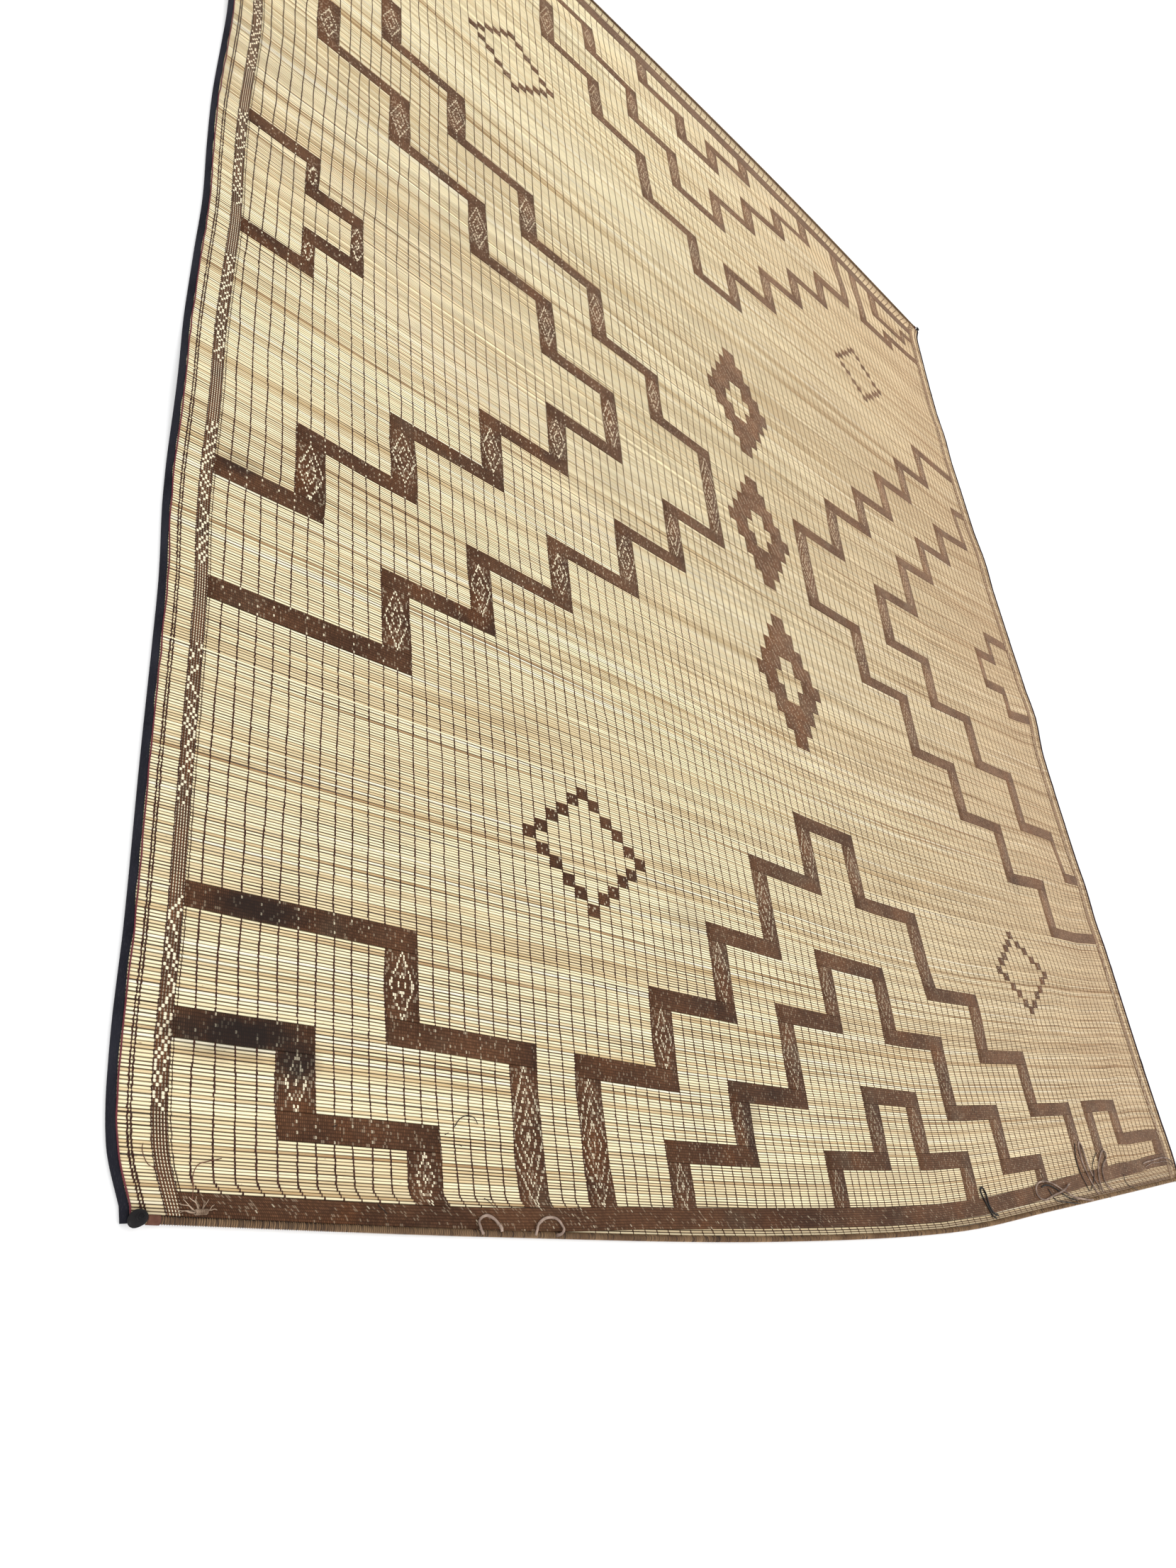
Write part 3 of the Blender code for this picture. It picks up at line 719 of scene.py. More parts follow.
def reed_finish():
    """Pale straw that is tan in places, with painted shade on each reed's sides and a painted dark shadow
    line where it meets the next reed.
    """
    f = Finish("straw_reed", roughness=0.5, specular=0.2)
    x, y, z = f.place()
    tone = f.attribute("tone")
    side = f.between(x, -0.15 * WIDTH, 0.42 * WIDTH)
    along = f.noise(f.vector(x * 2.6 + tone * 91, tone * 37), detail=2)
    streak = f.noise(f.vector(x * 7 + tone * 91, y * 520, tone * 37), detail=4, roughness=0.65)
    patch = f.noise(f.vector(x * 1.6, y * 26), detail=2)
    pale = f.mix(side, (0.98, 0.865, 0.570), (0.775, 0.590, 0.360))
    warm = f.mix(side, (0.60, 0.42, 0.20), (0.50, 0.325, 0.175))
    share = f.between(patch * 0.5 + along * 0.40 + tone * 0.42, 0.56, 0.98)
    colour = f.mix(share, pale, warm)
    white = f.between(0.11 - tone, 0.0, 0.05) * f.between(along, 0.46, 0.56)
    colour = f.mix(white * 0.6, colour, f.mix(side, (0.98, 0.93, 0.76), (0.90, 0.76, 0.54)))
    brown = f.between(tone, 0.90, 0.96) * f.between(along, 0.47, 0.60)
    colour = f.mix(brown * 0.7, colour, (0.38, 0.22, 0.10))
    cell = f.noise(f.vector(x * 15, y * 48), detail=2)
    colour = f.scaled(colour, 0.71 + streak * 0.29 + cell * 0.29)
    fleck = f.between(f.noise(f.vector(x * 160, y * 420, tone), detail=1), 0.74, 0.8)
    colour = f.mix(fleck * 0.5, colour, (0.16, 0.09, 0.04))
    colour = f.mix(stains(f, x, y) * 0.42, colour, (0.085, 0.070, 0.050))
    colour = f.mix(f.attribute("worn") * (0.38 + side * 0.47), colour, (0.23, 0.145, 0.085))
    # Painted shade: each reed is painted darker on its sides, away from its top ridge. A near-black line is
    # painted where the shade between two reeds falls, and depth only sets how strong that painted line is.
    depth = f.between(f.noise(f.vector(x * 5 + tone * 17, tone * 53), detail=1), 0.36, 0.62)
    away = f.attribute("groove")
    colour = f.scaled(colour, 1 - f.between(away, 0.25, 0.75) * 0.16)
    groove = f.between(away, 0.48, 0.76) * (0.54 - side * 0.22 + depth * 0.50)
    colour = f.mix(groove, colour, f.mix(side, (0.075, 0.040, 0.021), (0.15, 0.088, 0.046)))
    fibre = f.noise(f.vector(x * 30 + tone * 60, y * 2600, z * 2600), detail=2)
    return f.finish(colour, roughness=streak * 0.3 + 0.38, height=fibre, distance=0.00015)


def leather_colour(f, x, y, far):
    """Brown leather that is worn darker, redder and greyer in places."""
    worn = f.noise(f.vector(x * 9, y * 16), detail=3)
    fresh = f.mix(far, (0.108, 0.049, 0.024), (0.235, 0.134, 0.078))
    dark = f.mix(far, (0.060, 0.027, 0.014), (0.165, 0.091, 0.053))
    colour = f.mix(f.between(worn, 0.36, 0.64), dark, fresh)
    red = f.noise(f.vector(x * 14 + 7, y * 11), detail=2)
    rust = f.mix(far, (0.120, 0.047, 0.019), (0.230, 0.118, 0.064))
    colour = f.mix(f.between(red, 0.55, 0.68) * 0.6, colour, rust)
    grey = f.noise(f.vector(x * 11 - 5, y * 13), detail=2)
    dusty = f.mix(far, (0.088, 0.055, 0.034), (0.220, 0.146, 0.095))
    return f.mix(f.between(grey, 0.57, 0.70) * 0.55, colour, dusty)


def thong_finish():
    f = Finish("brown_thong", roughness=0.55, specular=0.08)
    x, y, z = f.place()
    tone = f.attribute("tone")
    side = f.between(x + y * 0.5, -0.5 * WIDTH, 0.5 * WIDTH)
    base = f.mix(side, (0.040, 0.015, 0.010), (0.185, 0.110, 0.063))
    pale = f.mix(side, (0.090, 0.038, 0.025), (0.265, 0.167, 0.102))
    colour = f.mix(f.between(tone, 0.3, 1.0) * 0.5, base, pale)
    grain = f.noise(f.vector(x, y, z), scale=900, detail=2)
    return f.finish(colour, roughness=grain * 0.3 + 0.4, height=grain, distance=0.0002)


def band_finish(name, look, shade=1.0, slits=None):
    """Fine strips of leather over the reeds, painted lighter along their crests and darker at their edges as
    painted highlight and shade. look says where a reed shows between them.

    The chart's u counts the spaces between thongs and v the reeds. slits says where the
    reeds show in lines between the strips.
    """
    f = Finish(name, roughness=0.6, specular=0.08)
    x, y, z = f.place()
    u, v = f.chart()
    strip = u * STRIPS + 0.5
    column, row = f.floor(strip), f.floor(v)
    side, end = abs(strip % 1 - 0.5), abs(v % 1 - 0.5)
    chance = f.add("ShaderNodeTexWhiteNoise", {"noise_dimensions": "2D"}, {"Vector": f.vector(column, row)})
    crest = (1 - f.between(side, 0.18, 0.46)) * (1 - f.between(end, 0.20, 0.48))
    far = f.between(x + y * 0.7, -1.3, 0.9)
    # Painted light: each strip is painted lighter along its crest over a reed, as a painted highlight, and
    # darker towards its edges, as painted shade. chance gives each strip its own random tone.
    light = (0.62 + crest * (0.35 + chance * 0.95)) * shade
    colour = f.scaled(leather_colour(f, x, y, far), light)
    soot = stains(f, x, y)
    colour = f.mix(soot * 0.88, colour, (0.014, 0.011, 0.010))
    inside = (1 - f.between(side, 0.34, 0.48)) * (1 - f.between(end, 0.38, 0.49))
    pips = look(f, column, row, chance) * inside
    if slits:
        lines = f.between(side, 0.30, 0.42) * (1 - f.between(end, 0.24, 0.40))
        pips = f.math("MAXIMUM", pips, (slits(f, row) * 0.65 + 0.35) * lines)
    pips = pips * (1 - soot * 0.75)
    colour = f.mix(pips, colour, f.mix(far, (0.96, 0.86, 0.62), (0.66, 0.50, 0.31)))
    grain = f.noise(f.vector(x, y, z), scale=700, detail=2)
    height = crest * 0.5 + grain * 0.2 - pips * 0.6
    return f.finish(colour, roughness=grain * 0.25 + 0.45, height=height, distance=0.0004)


def upright_pips(f, column, row, chance):
    """Nested pointed diamonds, as tall as the upright."""
    from_end = f.attribute("half_rows") - abs(row + 0.5 - f.attribute("middle_row"))
    reach = f.floor(from_end) - f.floor(abs(column) * 1.45 + 0.5)
    x, y = f.place()[:2]
    clear = 1 - f.between(x - y, 0.1, 1.2) * 0.6
    ring = ((reach % 7) < 0.5) + ((reach % 7) < 1.5) * (chance > 0.74) * clear
    dash = (chance > 0.76) * (chance * 0.2 + 0.06)
    return f.math("MINIMUM", f.math("MAXIMUM", ring * (reach > -0.5), dash), 1.0) * clear


def end_band_pips(f, column, row, chance):
    """Hardly a pip, beside the thongs."""
    near = ((column % STRIPS) < 0.5) * (((row + column * 0.1) % 3) < 1)
    return near * (chance > 0.7) * 0.35 + (1 - near) * (chance > 0.9) * 0.10


def crossbar_pips(f, column, row, chance):
    """A few pips, most of them beside the thongs."""
    x, y = f.place()[:2]
    near = ((column % STRIPS) < 0.5) * (((row + column * 0.1) % 3) < 1)
    clear = 1 - f.between(x - y * 0.6, -0.7, 0.1) * 0.8
    return near * (chance > 0.35) * 0.75 * clear + (1 - near) * (chance > 0.9) * 0.12


def diamond_pips(f, column, row, chance):
    """Slanting rows of faint dashes."""
    return (((column + row) % 7) < 1) * (chance > 0.4) * 0.42


def plain_pips(f, column, row, chance):
    """A faint dash here and there."""
    return (chance > 0.9) * 0.4


def side_band_pips(f, column, row, chance):
    """Checks in two slanting chains that turn about, the second one broken."""
    step = f.floor(row * 0.75) % BORDER_COLUMNS
    back = f.floor(row * (1 / 20)) % 2
    way = step + back * (BORDER_COLUMNS - 1 - step * 2)
    other = (way + 3) % BORDER_COLUMNS
    first = (abs(column - way) < 0.5) * (chance > 0.12)
    second = (abs(column - other) < 0.5) * (chance > 0.45)
    return (first + second) * (1 - plain_rows(f, row)) * 0.95


def plain_rows(f, row):
    """Stretches of the side band without checks, where fine slits run between its strips."""
    return (f.floor(row * (1 / 29)) % 3) < 0.5


def cloth_finish():
    f = Finish("dark_edge_cloth", roughness=0.9, specular=0.15)
    x, y, z = f.place()
    weft = f.noise(f.vector(x * 1500, y * 300, z * 1500), detail=1)
    warp = f.noise(f.vector(x * 300, y * 1500, z * 300), detail=1)
    fade = f.noise(f.vector(x * 30, y * 14, z * 30), detail=3)
    colour = f.mix(f.between(fade, 0.35, 0.7), (0.006, 0.006, 0.010), (0.017, 0.017, 0.024))
    colour = f.mix(f.between(weft, 0.55, 0.75) * 0.4, colour, (0.040, 0.038, 0.046))
    return f.finish(colour, height=weft * 0.5 + warp * 0.5, distance=0.0003)


def red_finish():
    f = Finish("red_leather", roughness=0.5)
    x, y, z = f.place()
    fade = f.noise(f.vector(x * 200, y * 60, z), detail=2)
    side = f.between(x, -0.3 * WIDTH, 0.3 * WIDTH)
    colour = f.mix(fade, (0.085, 0.010, 0.018), (0.17, 0.028, 0.038))
    colour = f.mix(side * 0.8, colour, (0.022, 0.010, 0.012))
    return f.finish(colour, height=f.noise(f.vector(x, y, z), scale=1400), distance=0.0002)


def strap_finish(name, low, high, roughness=0.6):
    """Plain leather, between two colours."""
    f = Finish(name, roughness=roughness, specular=0.12)
    x, y, z = f.place()
    wear = f.noise(f.vector(x, y, z), scale=45, detail=4, roughness=0.6)
    fine = f.noise(f.vector(x, y, z), scale=600, detail=3)
    colour = f.mix(f.between(wear, 0.35, 0.68), low, high)
    colour = f.mix(f.between(fine, 0.55, 0.8) * 0.35, colour, low)
    return f.finish(colour, roughness=wear * 0.3 + roughness - 0.15, height=fine, distance=0.0003)


def whipping_finish():
    """A leather strand wound closely round the end: pale ribs, with painted shade in the hollows between
    them.
    """
    f = Finish("whipping_leather", roughness=0.65)
    x, y, z = f.place()
    wear = f.noise(f.vector(x * 22, y * 22), detail=3)
    rib = f.noise(f.vector(x * 1200 + z * 260, y * 40), detail=1)
    low = f.mix(f.between(x, 0.1 * WIDTH, 0.4 * WIDTH), (0.205, 0.110, 0.050), (0.28, 0.180, 0.092))
    colour = f.mix(f.between(wear, 0.35, 0.65), low, (0.385, 0.240, 0.122))
    # Painted shade: the hollows between the ribs are painted dark, and so are the points that lie further in
    # from the whipping's outer surface, as shade between the turns.
    colour = f.mix(1 - f.between(rib, 0.36, 0.52), colour, (0.055, 0.029, 0.016))
    colour = f.mix(1 - f.between(f.attribute("out"), 0.35, 0.85), colour, (0.035, 0.019, 0.011))
    return f.finish(colour, height=rib, distance=0.0004)


def floor_finish():
    f = Finish("pale_floor", roughness=0.85, specular=0.1)
    x, y = f.place()[:2]
    cloud = f.noise(f.vector(x, y), scale=2.0, detail=2)
    return f.finish(f.mix(cloud, (0.93, 0.93, 0.93), (0.95, 0.95, 0.95)))


def grid_faces(rows, columns, start=0, closed=False):
    """Quads between the points of a grid whose rows may close round on themselves."""
    r = np.arange(rows - 1)[:, None]
    c = np.arange(columns if closed else columns - 1)[None, :]
    a = start + r * columns + c
    b = start + r * columns + (c + 1) % columns
    return np.stack([a, b, b + columns, a + columns], axis=-1).reshape(-1, 4)


def placed(name, data):
    """A new object in the scene."""
    piece = bpy.data.objects.new(name, data)
    bpy.context.scene.collection.objects.link(piece)
    return piece


def mark(piece, **values):
    """Keeps named values on a piece's points."""
    for name, value in values.items():
        value = np.asarray(value, np.float32)
        kind, key = ("FLOAT_VECTOR", "vector") if value.ndim == 2 else ("FLOAT", "value")
        piece.data.attributes.new(name, kind, "POINT").data.foreach_set(key, value.ravel())
    return piece


def bare_mesh(name, points, edges=(), faces=()):
    """A mesh from points in the mat's corner frame."""
    mesh = bpy.data.meshes.new(name)
    mesh.from_pydata((np.asarray(points) - ORIGIN).tolist(), edges, faces)
    return placed(name, mesh)


def mesh_piece(name, points, faces, finish, chart=None):
    """A smooth piece with its finish, and with a chart for its UV map."""
    piece = bare_mesh(name, points, faces=[list(face) for face in faces])
    mesh = piece.data
    if chart is not None:
        layer = mesh.uv_layers.new(name="chart")
        corner = np.zeros(len(mesh.loops), np.int32)
        mesh.loops.foreach_get("vertex_index", corner)
        layer.data.foreach_set("uv", np.asarray(chart, np.float32)[corner].ravel())
    mesh.materials.append(finish)
    mesh.shade_smooth()
    return piece


def turn_outwards(piece):
    """Points a closed mesh's faces outwards."""
    bm = bmesh.new()
    bm.from_mesh(piece.data)
    bmesh.ops.recalc_face_normals(bm, faces=bm.faces)
    bm.to_mesh(piece.data)
    bm.free()
    return piece


def ride(piece, slot, *nodes):
    """A finished piece rides on the mat and stands for the frame's nodes."""
    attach(piece, "root")
    if nodes:
        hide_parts(*nodes)


def grown(piece, tree, values, name, finish):
    """The plain mesh that a node tree grows on a piece, which it takes the place of."""
    modifier = piece.modifiers.new("grow", "NODES")
    modifier.node_group = tree
    named = {item.name: item.identifier for item in tree.interface.items_tree
             if item.item_type == "SOCKET" and item.in_out == "INPUT"}
    for key, value in values.items():
        modifier[named[key]] = value
    piece.update_tag()
    evaluated = piece.evaluated_get(bpy.context.evaluated_depsgraph_get())
    made = placed(name, bpy.data.meshes.new_from_object(evaluated))
    made.data.name = name
    piece.modifiers.remove(modifier)
    bpy.data.objects.remove(piece, do_unlink=True)
    made.data.materials.clear()
    made.data.materials.append(finish)
    return made


def new_tree(name, inputs):
    """An empty geometry tree with named inputs: its graph and a wire for each input."""
    tree = bpy.data.node_groups.new(name, "GeometryNodeTree")
    tree.interface.new_socket("Geometry", in_out="INPUT", socket_type="NodeSocketGeometry")
    tree.interface.new_socket("Geometry", in_out="OUTPUT", socket_type="NodeSocketGeometry")
    for key, kind in inputs.items():
        tree.interface.new_socket(key, in_out="INPUT", socket_type="NodeSocket" + kind)
    graph = Graph(tree)
    source = tree.nodes.new("NodeGroupInput")
    return graph, {socket.name: Wire(graph, socket) for socket in source.outputs if socket.name}


def close_tree(graph, wire, smooth_faces, material):
    """Ends a geometry tree: realized, shaded and with its material."""
    wire = graph.add("GeometryNodeRealizeInstances", None, {"Geometry": wire})
    wire = graph.add("GeometryNodeSetShadeSmooth", None, {"Geometry": wire, "Shade Smooth": smooth_faces})
    wire = graph.add("GeometryNodeSetMaterial", None, {"Geometry": wire, "Material": material})
    target = graph.tree.nodes.new("NodeGroupOutput")
    graph.put(target.inputs["Geometry"], wire)
    return graph.tree


def reed_tree():
    """Sweeps a rounded section along each line of a mesh."""
    graph, given = new_tree("grow_reeds", {"Width": "Float", "Height": "Float", "Sides": "Int",
                                           "Finish": "Material"})
    size = graph.named("size")
    line = graph.add("GeometryNodeSetCurveRadius", None, {
        "Curve": graph.level_line(given["Geometry"]), "Radius": size})
    section = graph.add("GeometryNodeTransform", None, {
        "Geometry": graph.circle(given["Sides"], 0.5), "Rotation": (0, 0, -math.pi / 2)})
    scale = graph.add("ShaderNodeCombineXYZ", None, {0: given["Width"], 1: given["Height"], 2: 1.0})
    section = graph.add("GeometryNodeTransform", None, {"Geometry": section, "Scale": scale})
    reed = graph.add("GeometryNodeCurveToMesh", None, {
        "Curve": line, "Profile Curve": section, "Scale": size, "Fill Caps": True})
    return close_tree(graph, reed, True, given["Finish"])


def stitch_tree():
    """Puts one stitch on each point, turned and sized by the point's own values."""
    graph, given = new_tree("grow_stitches", {"Stitch": "Object", "Finish": "Material"})
    turn = graph.add("FunctionNodeEulerToRotation", None, {0: graph.named("turn", "FLOAT_VECTOR")})
    stitch = graph.add("GeometryNodeObjectInfo", None, {"Object": given["Stitch"]}, out="Geometry")
    many = graph.add("GeometryNodeInstanceOnPoints", None, {
        "Points": given["Geometry"], "Instance": stitch, "Rotation": turn,
        "Scale": graph.named("size", "FLOAT_VECTOR")})
    return close_tree(graph, many, False, given["Finish"])


def stitch_shape():
    """The stitch that the tree repeats."""
    mesh = bpy.data.meshes.new("stitch")
    mesh.from_pydata(STITCH_POINTS, [], STITCH_FACES)
    return turn_outwards(placed("stitch", mesh))


def make_reeds(finish):
    """All the reeds, each a rounded stick that bends with its neighbours."""
    dice = np.random.default_rng(11)
    lines = (LINES[:-1] + LINES[1:]) / 2
    tone = dice.random(REEDS)
    for line in lines:
        line[:, 1] += wander(REED_STEPS + 1, REED_STEPS // 2, REED_STRAY, dice)
    lines[..., 2] += dice.normal(0, REED_STRAY, REEDS)[:, None]
    pitch = np.linalg.norm(LINES[1:] - LINES[:-1], axis=-1)
    size = pitch / pitch.mean() * dice.uniform(0.95, 1.04, REEDS)[:, None]
    from_end = np.minimum(np.arange(REEDS), REEDS - 1 - np.arange(REEDS))
    worn = 0.55 * ramp(-from_end, -WORN_REEDS, -4) + 0.65 * (from_end < 2)
    points = REED_STEPS + 1
    starts = np.arange(REEDS)[:, None] * points + np.arange(REED_STEPS)
    edges = np.stack([starts, starts + 1], axis=-1).reshape(-1, 2).tolist()
    piece = mark(bare_mesh("reed_lines", lines.reshape(-1, 3), edges), tone=np.repeat(tone, points),
                 size=size.ravel(), worn=np.repeat(worn, points))
    values = {"Width": REED_WIDTH, "Height": REED_HEIGHT, "Sides": REED_SIDES, "Finish": finish}
    reeds = grown(piece, reed_tree(), values, "reeds", finish)
    # Marks each reed's side points, all but its top ridge, for the shade that is painted beside each reed.
    return mark(reeds, groove=np.arange(len(reeds.data.vertices)) % REED_SIDES > 0)


def stitches_on(x, numbers, lean, width):
    """Places, turns and sizes of the stitches of one thong, one over each reed."""
    middle = on_reeds(x, numbers)
    low = on_reeds(x, numbers - 0.5)
    high = on_reeds(x, numbers + 0.5)
    step = high - low
    length = np.linalg.norm(step, axis=-1)
    turn = np.stack([
        np.arctan2(step[:, 2], step[:, 1]),
        np.zeros(len(x)),
        -np.arctan2(step[:, 0], step[:, 1]) + np.radians(lean)], axis=-1)
    size = np.stack([np.full(len(x), width), length, np.full(len(x), STITCH_RISE)], axis=-1)
    middle[:, 2] += REED_HEIGHT / 2 * 0.9
    return middle, turn, size


class Stitching:
    """Collects the stitches of several thongs and grows them as one piece."""

    def __init__(self, name, seed):
        self.name = name
        self.dice = np.random.default_rng(seed)
        self.parts = []

    def run(self, x, keep=None, lean=STITCH_LEAN, width=STITCH_WIDTH):
        """One thong. x is where it crosses the lines between the reeds."""
        numbers = np.arange(REEDS) + 0.5
        at = (x[:-1] + x[1:]) / 2 + self.dice.normal(0, STITCH_STRAY, REEDS)
        keep = np.ones(REEDS, bool) if keep is None else keep
        lean = np.broadcast_to(lean, REEDS) + self.dice.normal(0, STITCH_LEAN_STRAY, REEDS)
        middle, turn, size = stitches_on(at[keep], numbers[keep], lean[keep], width)
        size[:, 0] *= self.dice.uniform(0.8, 1.15, len(size)) * (1 + STITCH_GROWTH * at[keep] / WIDTH)
        tone = self.dice.random(len(size))
        self.parts.append((middle, turn, size, tone))

    def grow(self, stitch, tree, finish):
        middle, turn, size, tone = (np.concatenate(column) for column in zip(*self.parts))
        cloud = mark(bare_mesh(self.name + "_points", middle), turn=turn, size=size, tone=tone)
        return grown(cloud, tree, {"Stitch": stitch, "Finish": finish}, self.name, finish)


class Leatherwork:
    """Collects the patches of leather of one kind and makes them one piece."""

    def __init__(self, name):
        self.name = name
        self.points = []
        self.faces = []
        self.chart = []
        self.rows = []
        self.count = 0

    def lay(self, x, numbers, u, v, flat=False, middle=0.0, half=0.0):
        """One patch over a grid of x and reed numbers, with its chart and the rows it spans."""
        points = on_reeds(x, numbers)
        crest = abs(numbers % 1 - 0.5) < 0.25
        dip = np.where(crest | flat, 0.0, LEATHER_DIP)
        points[..., 2] += REED_HEIGHT / 2 + LEATHER_RISE - dip
        self.points.append(points.reshape(-1, 3))
        self.chart.append(np.stack([u, v], axis=-1).reshape(-1, 2))
        self.faces.append(grid_faces(*points.shape[:2], start=self.count))
        count = points.shape[0] * points.shape[1]
        self.rows += [(middle, half)] * count
        self.count += count

    def patch(self, low_thong, high_thong, low_reed, high_reed, centre=0.0):
        """A patch between two thongs and two lines between reeds, charted from a centre thong."""
        thongs = np.linspace(low_thong, high_thong, max(int(round(high_thong - low_thong)), 1) + 1)
        numbers = np.arange(low_reed, high_reed + 0.25, 0.5)
        t, n = np.meshgrid(thongs, numbers)
        self.lay(thong_x(t, n), n, t - centre, n,
                 middle=(low_reed + high_reed) / 2, half=(high_reed - low_reed) / 2)

    def make(self, finish):
        piece = mesh_piece(self.name, np.concatenate(self.points), np.concatenate(self.faces),
                           finish, chart=np.concatenate(self.chart))
        middle_row, half_rows = np.array(self.rows).T
        mark(piece, middle_row=middle_row, half_rows=half_rows)
        wall = piece.modifiers.new("thickness", "SOLIDIFY")
        wall.thickness = LEATHER
        wall.offset = -1
        return piece


class Chart:
    """Which spaces between thongs, over which reeds, the leather covers."""

    def __init__(self):
        self.covered = np.zeros((REEDS, THONGS + 1), bool)

    def cover(self, low_thong, high_thong, low_reed, high_reed):
        a, b = int(round(low_thong)), int(round(high_thong))
        self.covered[int(round(low_reed)):int(round(high_reed)), a:b] = True

    def bare(self, thong):
        """The reeds where a thong has bare reed on at least one side."""
        return ~(self.covered[:, thong - 1] & self.covered[:, thong])


def end_level(thong, end):
    """The reed where the bottom or top band starts."""
    return smooth(END_BANDS, thong, UP[end] + 1)


def stepped_band(path, foot, width, uprights, crossbars, chart):
    """A band that climbs in steps: uprights on its thongs and crossbars on its reeds."""
    thongs, reeds = path[0::2], path[1::2]

    def far_side(thong):
        if thong > THONGS:
            return thong
        return min(thong + width, LAST_WIDE_THONG) if thong >= LAST_WIDE_THONG - 1 else thong + width

    for i, reed in enumerate(reeds):
        low = min(thongs[i], thongs[i + 1])
        high = max(far_side(t) if 0 < t <= THONGS else t for t in (thongs[i], thongs[i + 1]))
        crossbars.patch(low, high, reed, reed + BAND_REEDS, low)
        chart.cover(low, high, reed, reed + BAND_REEDS)
    for i, thong in enumerate(thongs):
        if thong in (0, THONGS + 1):
            continue
        stand = round(float(end_level(thong, foot))) if foot else 0
        stand = stand if foot == TOP else stand + END_BAND_REEDS[0] - BAND_REEDS
        ends = sorted([reeds[i - 1] if i else stand, reeds[i] if i < len(reeds) else stand])
        low, high = ends[0] + BAND_REEDS, ends[1]
        if high <= low:
            continue
        right = far_side(thong)
        uprights.patch(thong, right, low, high, (thong + right) / 2)
        chart.cover(thong, right, low, high)


def stepped_diamonds(work, chart):
    """Three diamonds up the middle, stepped like stairs, each with a pale cross in it."""
    for low, step in DIAMONDS:
        for level, half in enumerate(DIAMOND_STEPS):
            start = round(low + level * step)
            end = round(low + (level + 1) * step)
            spans = [(-half, half)]
            away = abs(level - len(DIAMOND_STEPS) // 2)
            if away < 2:
                hole = 2 if away == 0 else 1
                spans = [(-half, -hole), (hole, half)]
            for a, b in spans:
                a, b = DIAMOND_THONG + a, DIAMOND_THONG + b
                work.patch(a, b, start, end, DIAMOND_THONG)
                chart.cover(a, b, start, end)


def small_diamonds(work, chart):
    """Hollow diamonds of single checks."""
    for thong, reed in SMALL_DIAMONDS:
        for i in range(-SMALL_DIAMOND_REACH, SMALL_DIAMOND_REACH + 1):
            for side in {-1, 1} if abs(i) < SMALL_DIAMOND_REACH else {1}:
                j = side * (SMALL_DIAMOND_REACH - abs(i))
                left = thong + i - 0.5
                low = round(reed + (j - 0.5) * CHECK_REEDS)
                work.patch(left, left + 1, low, low + CHECK_REEDS)
                chart.cover(left, left + 1, low, low + CHECK_REEDS)


def end_band(work, end, chart):
    """The band along one end, which climbs slowly across the reeds."""
    rows = END_BAND_REEDS[UP[end]]
    thongs = np.arange(THONGS + 2)
    level = end_level(thongs, end)
    steps = np.arange(rows * 2 + 1) / 2
    number = np.clip(level[None, :] + steps[:, None], 0, REEDS)
    t = np.broadcast_to(thongs, number.shape).astype(float)
    v = np.broadcast_to(steps[:, None], number.shape)
    work.lay(thong_x(t, number), number, t, v, flat=True)
    for thong in range(THONGS + 1):
        low = max(level[thong], 0)
        chart.cover(thong, thong + 1, low, min(level[thong] + rows, REEDS))


def side_band(side, work, stitching):
    """The narrow band along one side: strips of leather between two thongs."""
    insets = np.linspace(*BORDER[side], BORDER_COLUMNS + 1)
    columns = np.arange(BORDER_COLUMNS + 1)
    lines = np.array([side_x(side, inset) for inset in insets])
    if side == "right":
        lines, columns = lines[::-1], columns[::-1]
    numbers = np.arange(REEDS * 2 + 1) / 2
    x = np.stack([np.interp(numbers, np.arange(REEDS + 1), line) for line in lines], axis=-1)
    number = np.repeat(numbers[:, None], BORDER_COLUMNS + 1, axis=1)
    u = np.broadcast_to((columns - 0.5) / STRIPS, number.shape)
    work.lay(x, number, u, number)
    for line in (lines[0], lines[-1]):
        stitching.run(line)
    stitching.run(side_x(side, BORDER[side][1] + BORDER_LINE), width=BORDER_LINE_WIDTH)


def circle(sides, radius=1.0):
    """Points round a circle."""
    turns = np.linspace(0, 2 * math.pi, sides, endpoint=False)
    return np.stack([np.cos(turns), np.sin(turns)], axis=-1) * radius


def rings_along(path, section):
    """The points of a section, sideways and up, carried along a path."""
    path = np.asarray(path, float)
    way = np.gradient(path, axis=0)
    way /= np.linalg.norm(way, axis=1)[:, None]
    side = np.cross(way, (0, 0, 1))
    side /= np.linalg.norm(side, axis=1)[:, None]
    up = np.cross(side, way)
    section = np.asarray(section, float)
    return path[:, None] + side[:, None] * section[..., 0, None] + up[:, None] * section[..., 1, None]


def swept(name, rings, finish):
    """A closed tube through rings of points."""
    rows, sides = rings.shape[:2]
    faces = grid_faces(rows, sides, closed=True).tolist()
    faces.append(list(range(sides)))
    faces.append([(rows - 1) * sides + k for k in range(sides)])
    return turn_outwards(mesh_piece(name, rings.reshape(-1, 3), faces, finish))


def side_rows(side):
    """Points up one side's outer line, from corner to corner."""
    up = np.linspace(0, 1, BINDING_ROWS)
    x, y = outline(SIDES.index(side), up, 0, ROLL + GAP)
    y[0] -= ROLL
    y[-1] += ROLL
    z = lift(x, y, up)
    return np.stack([x, y, z], axis=-1)


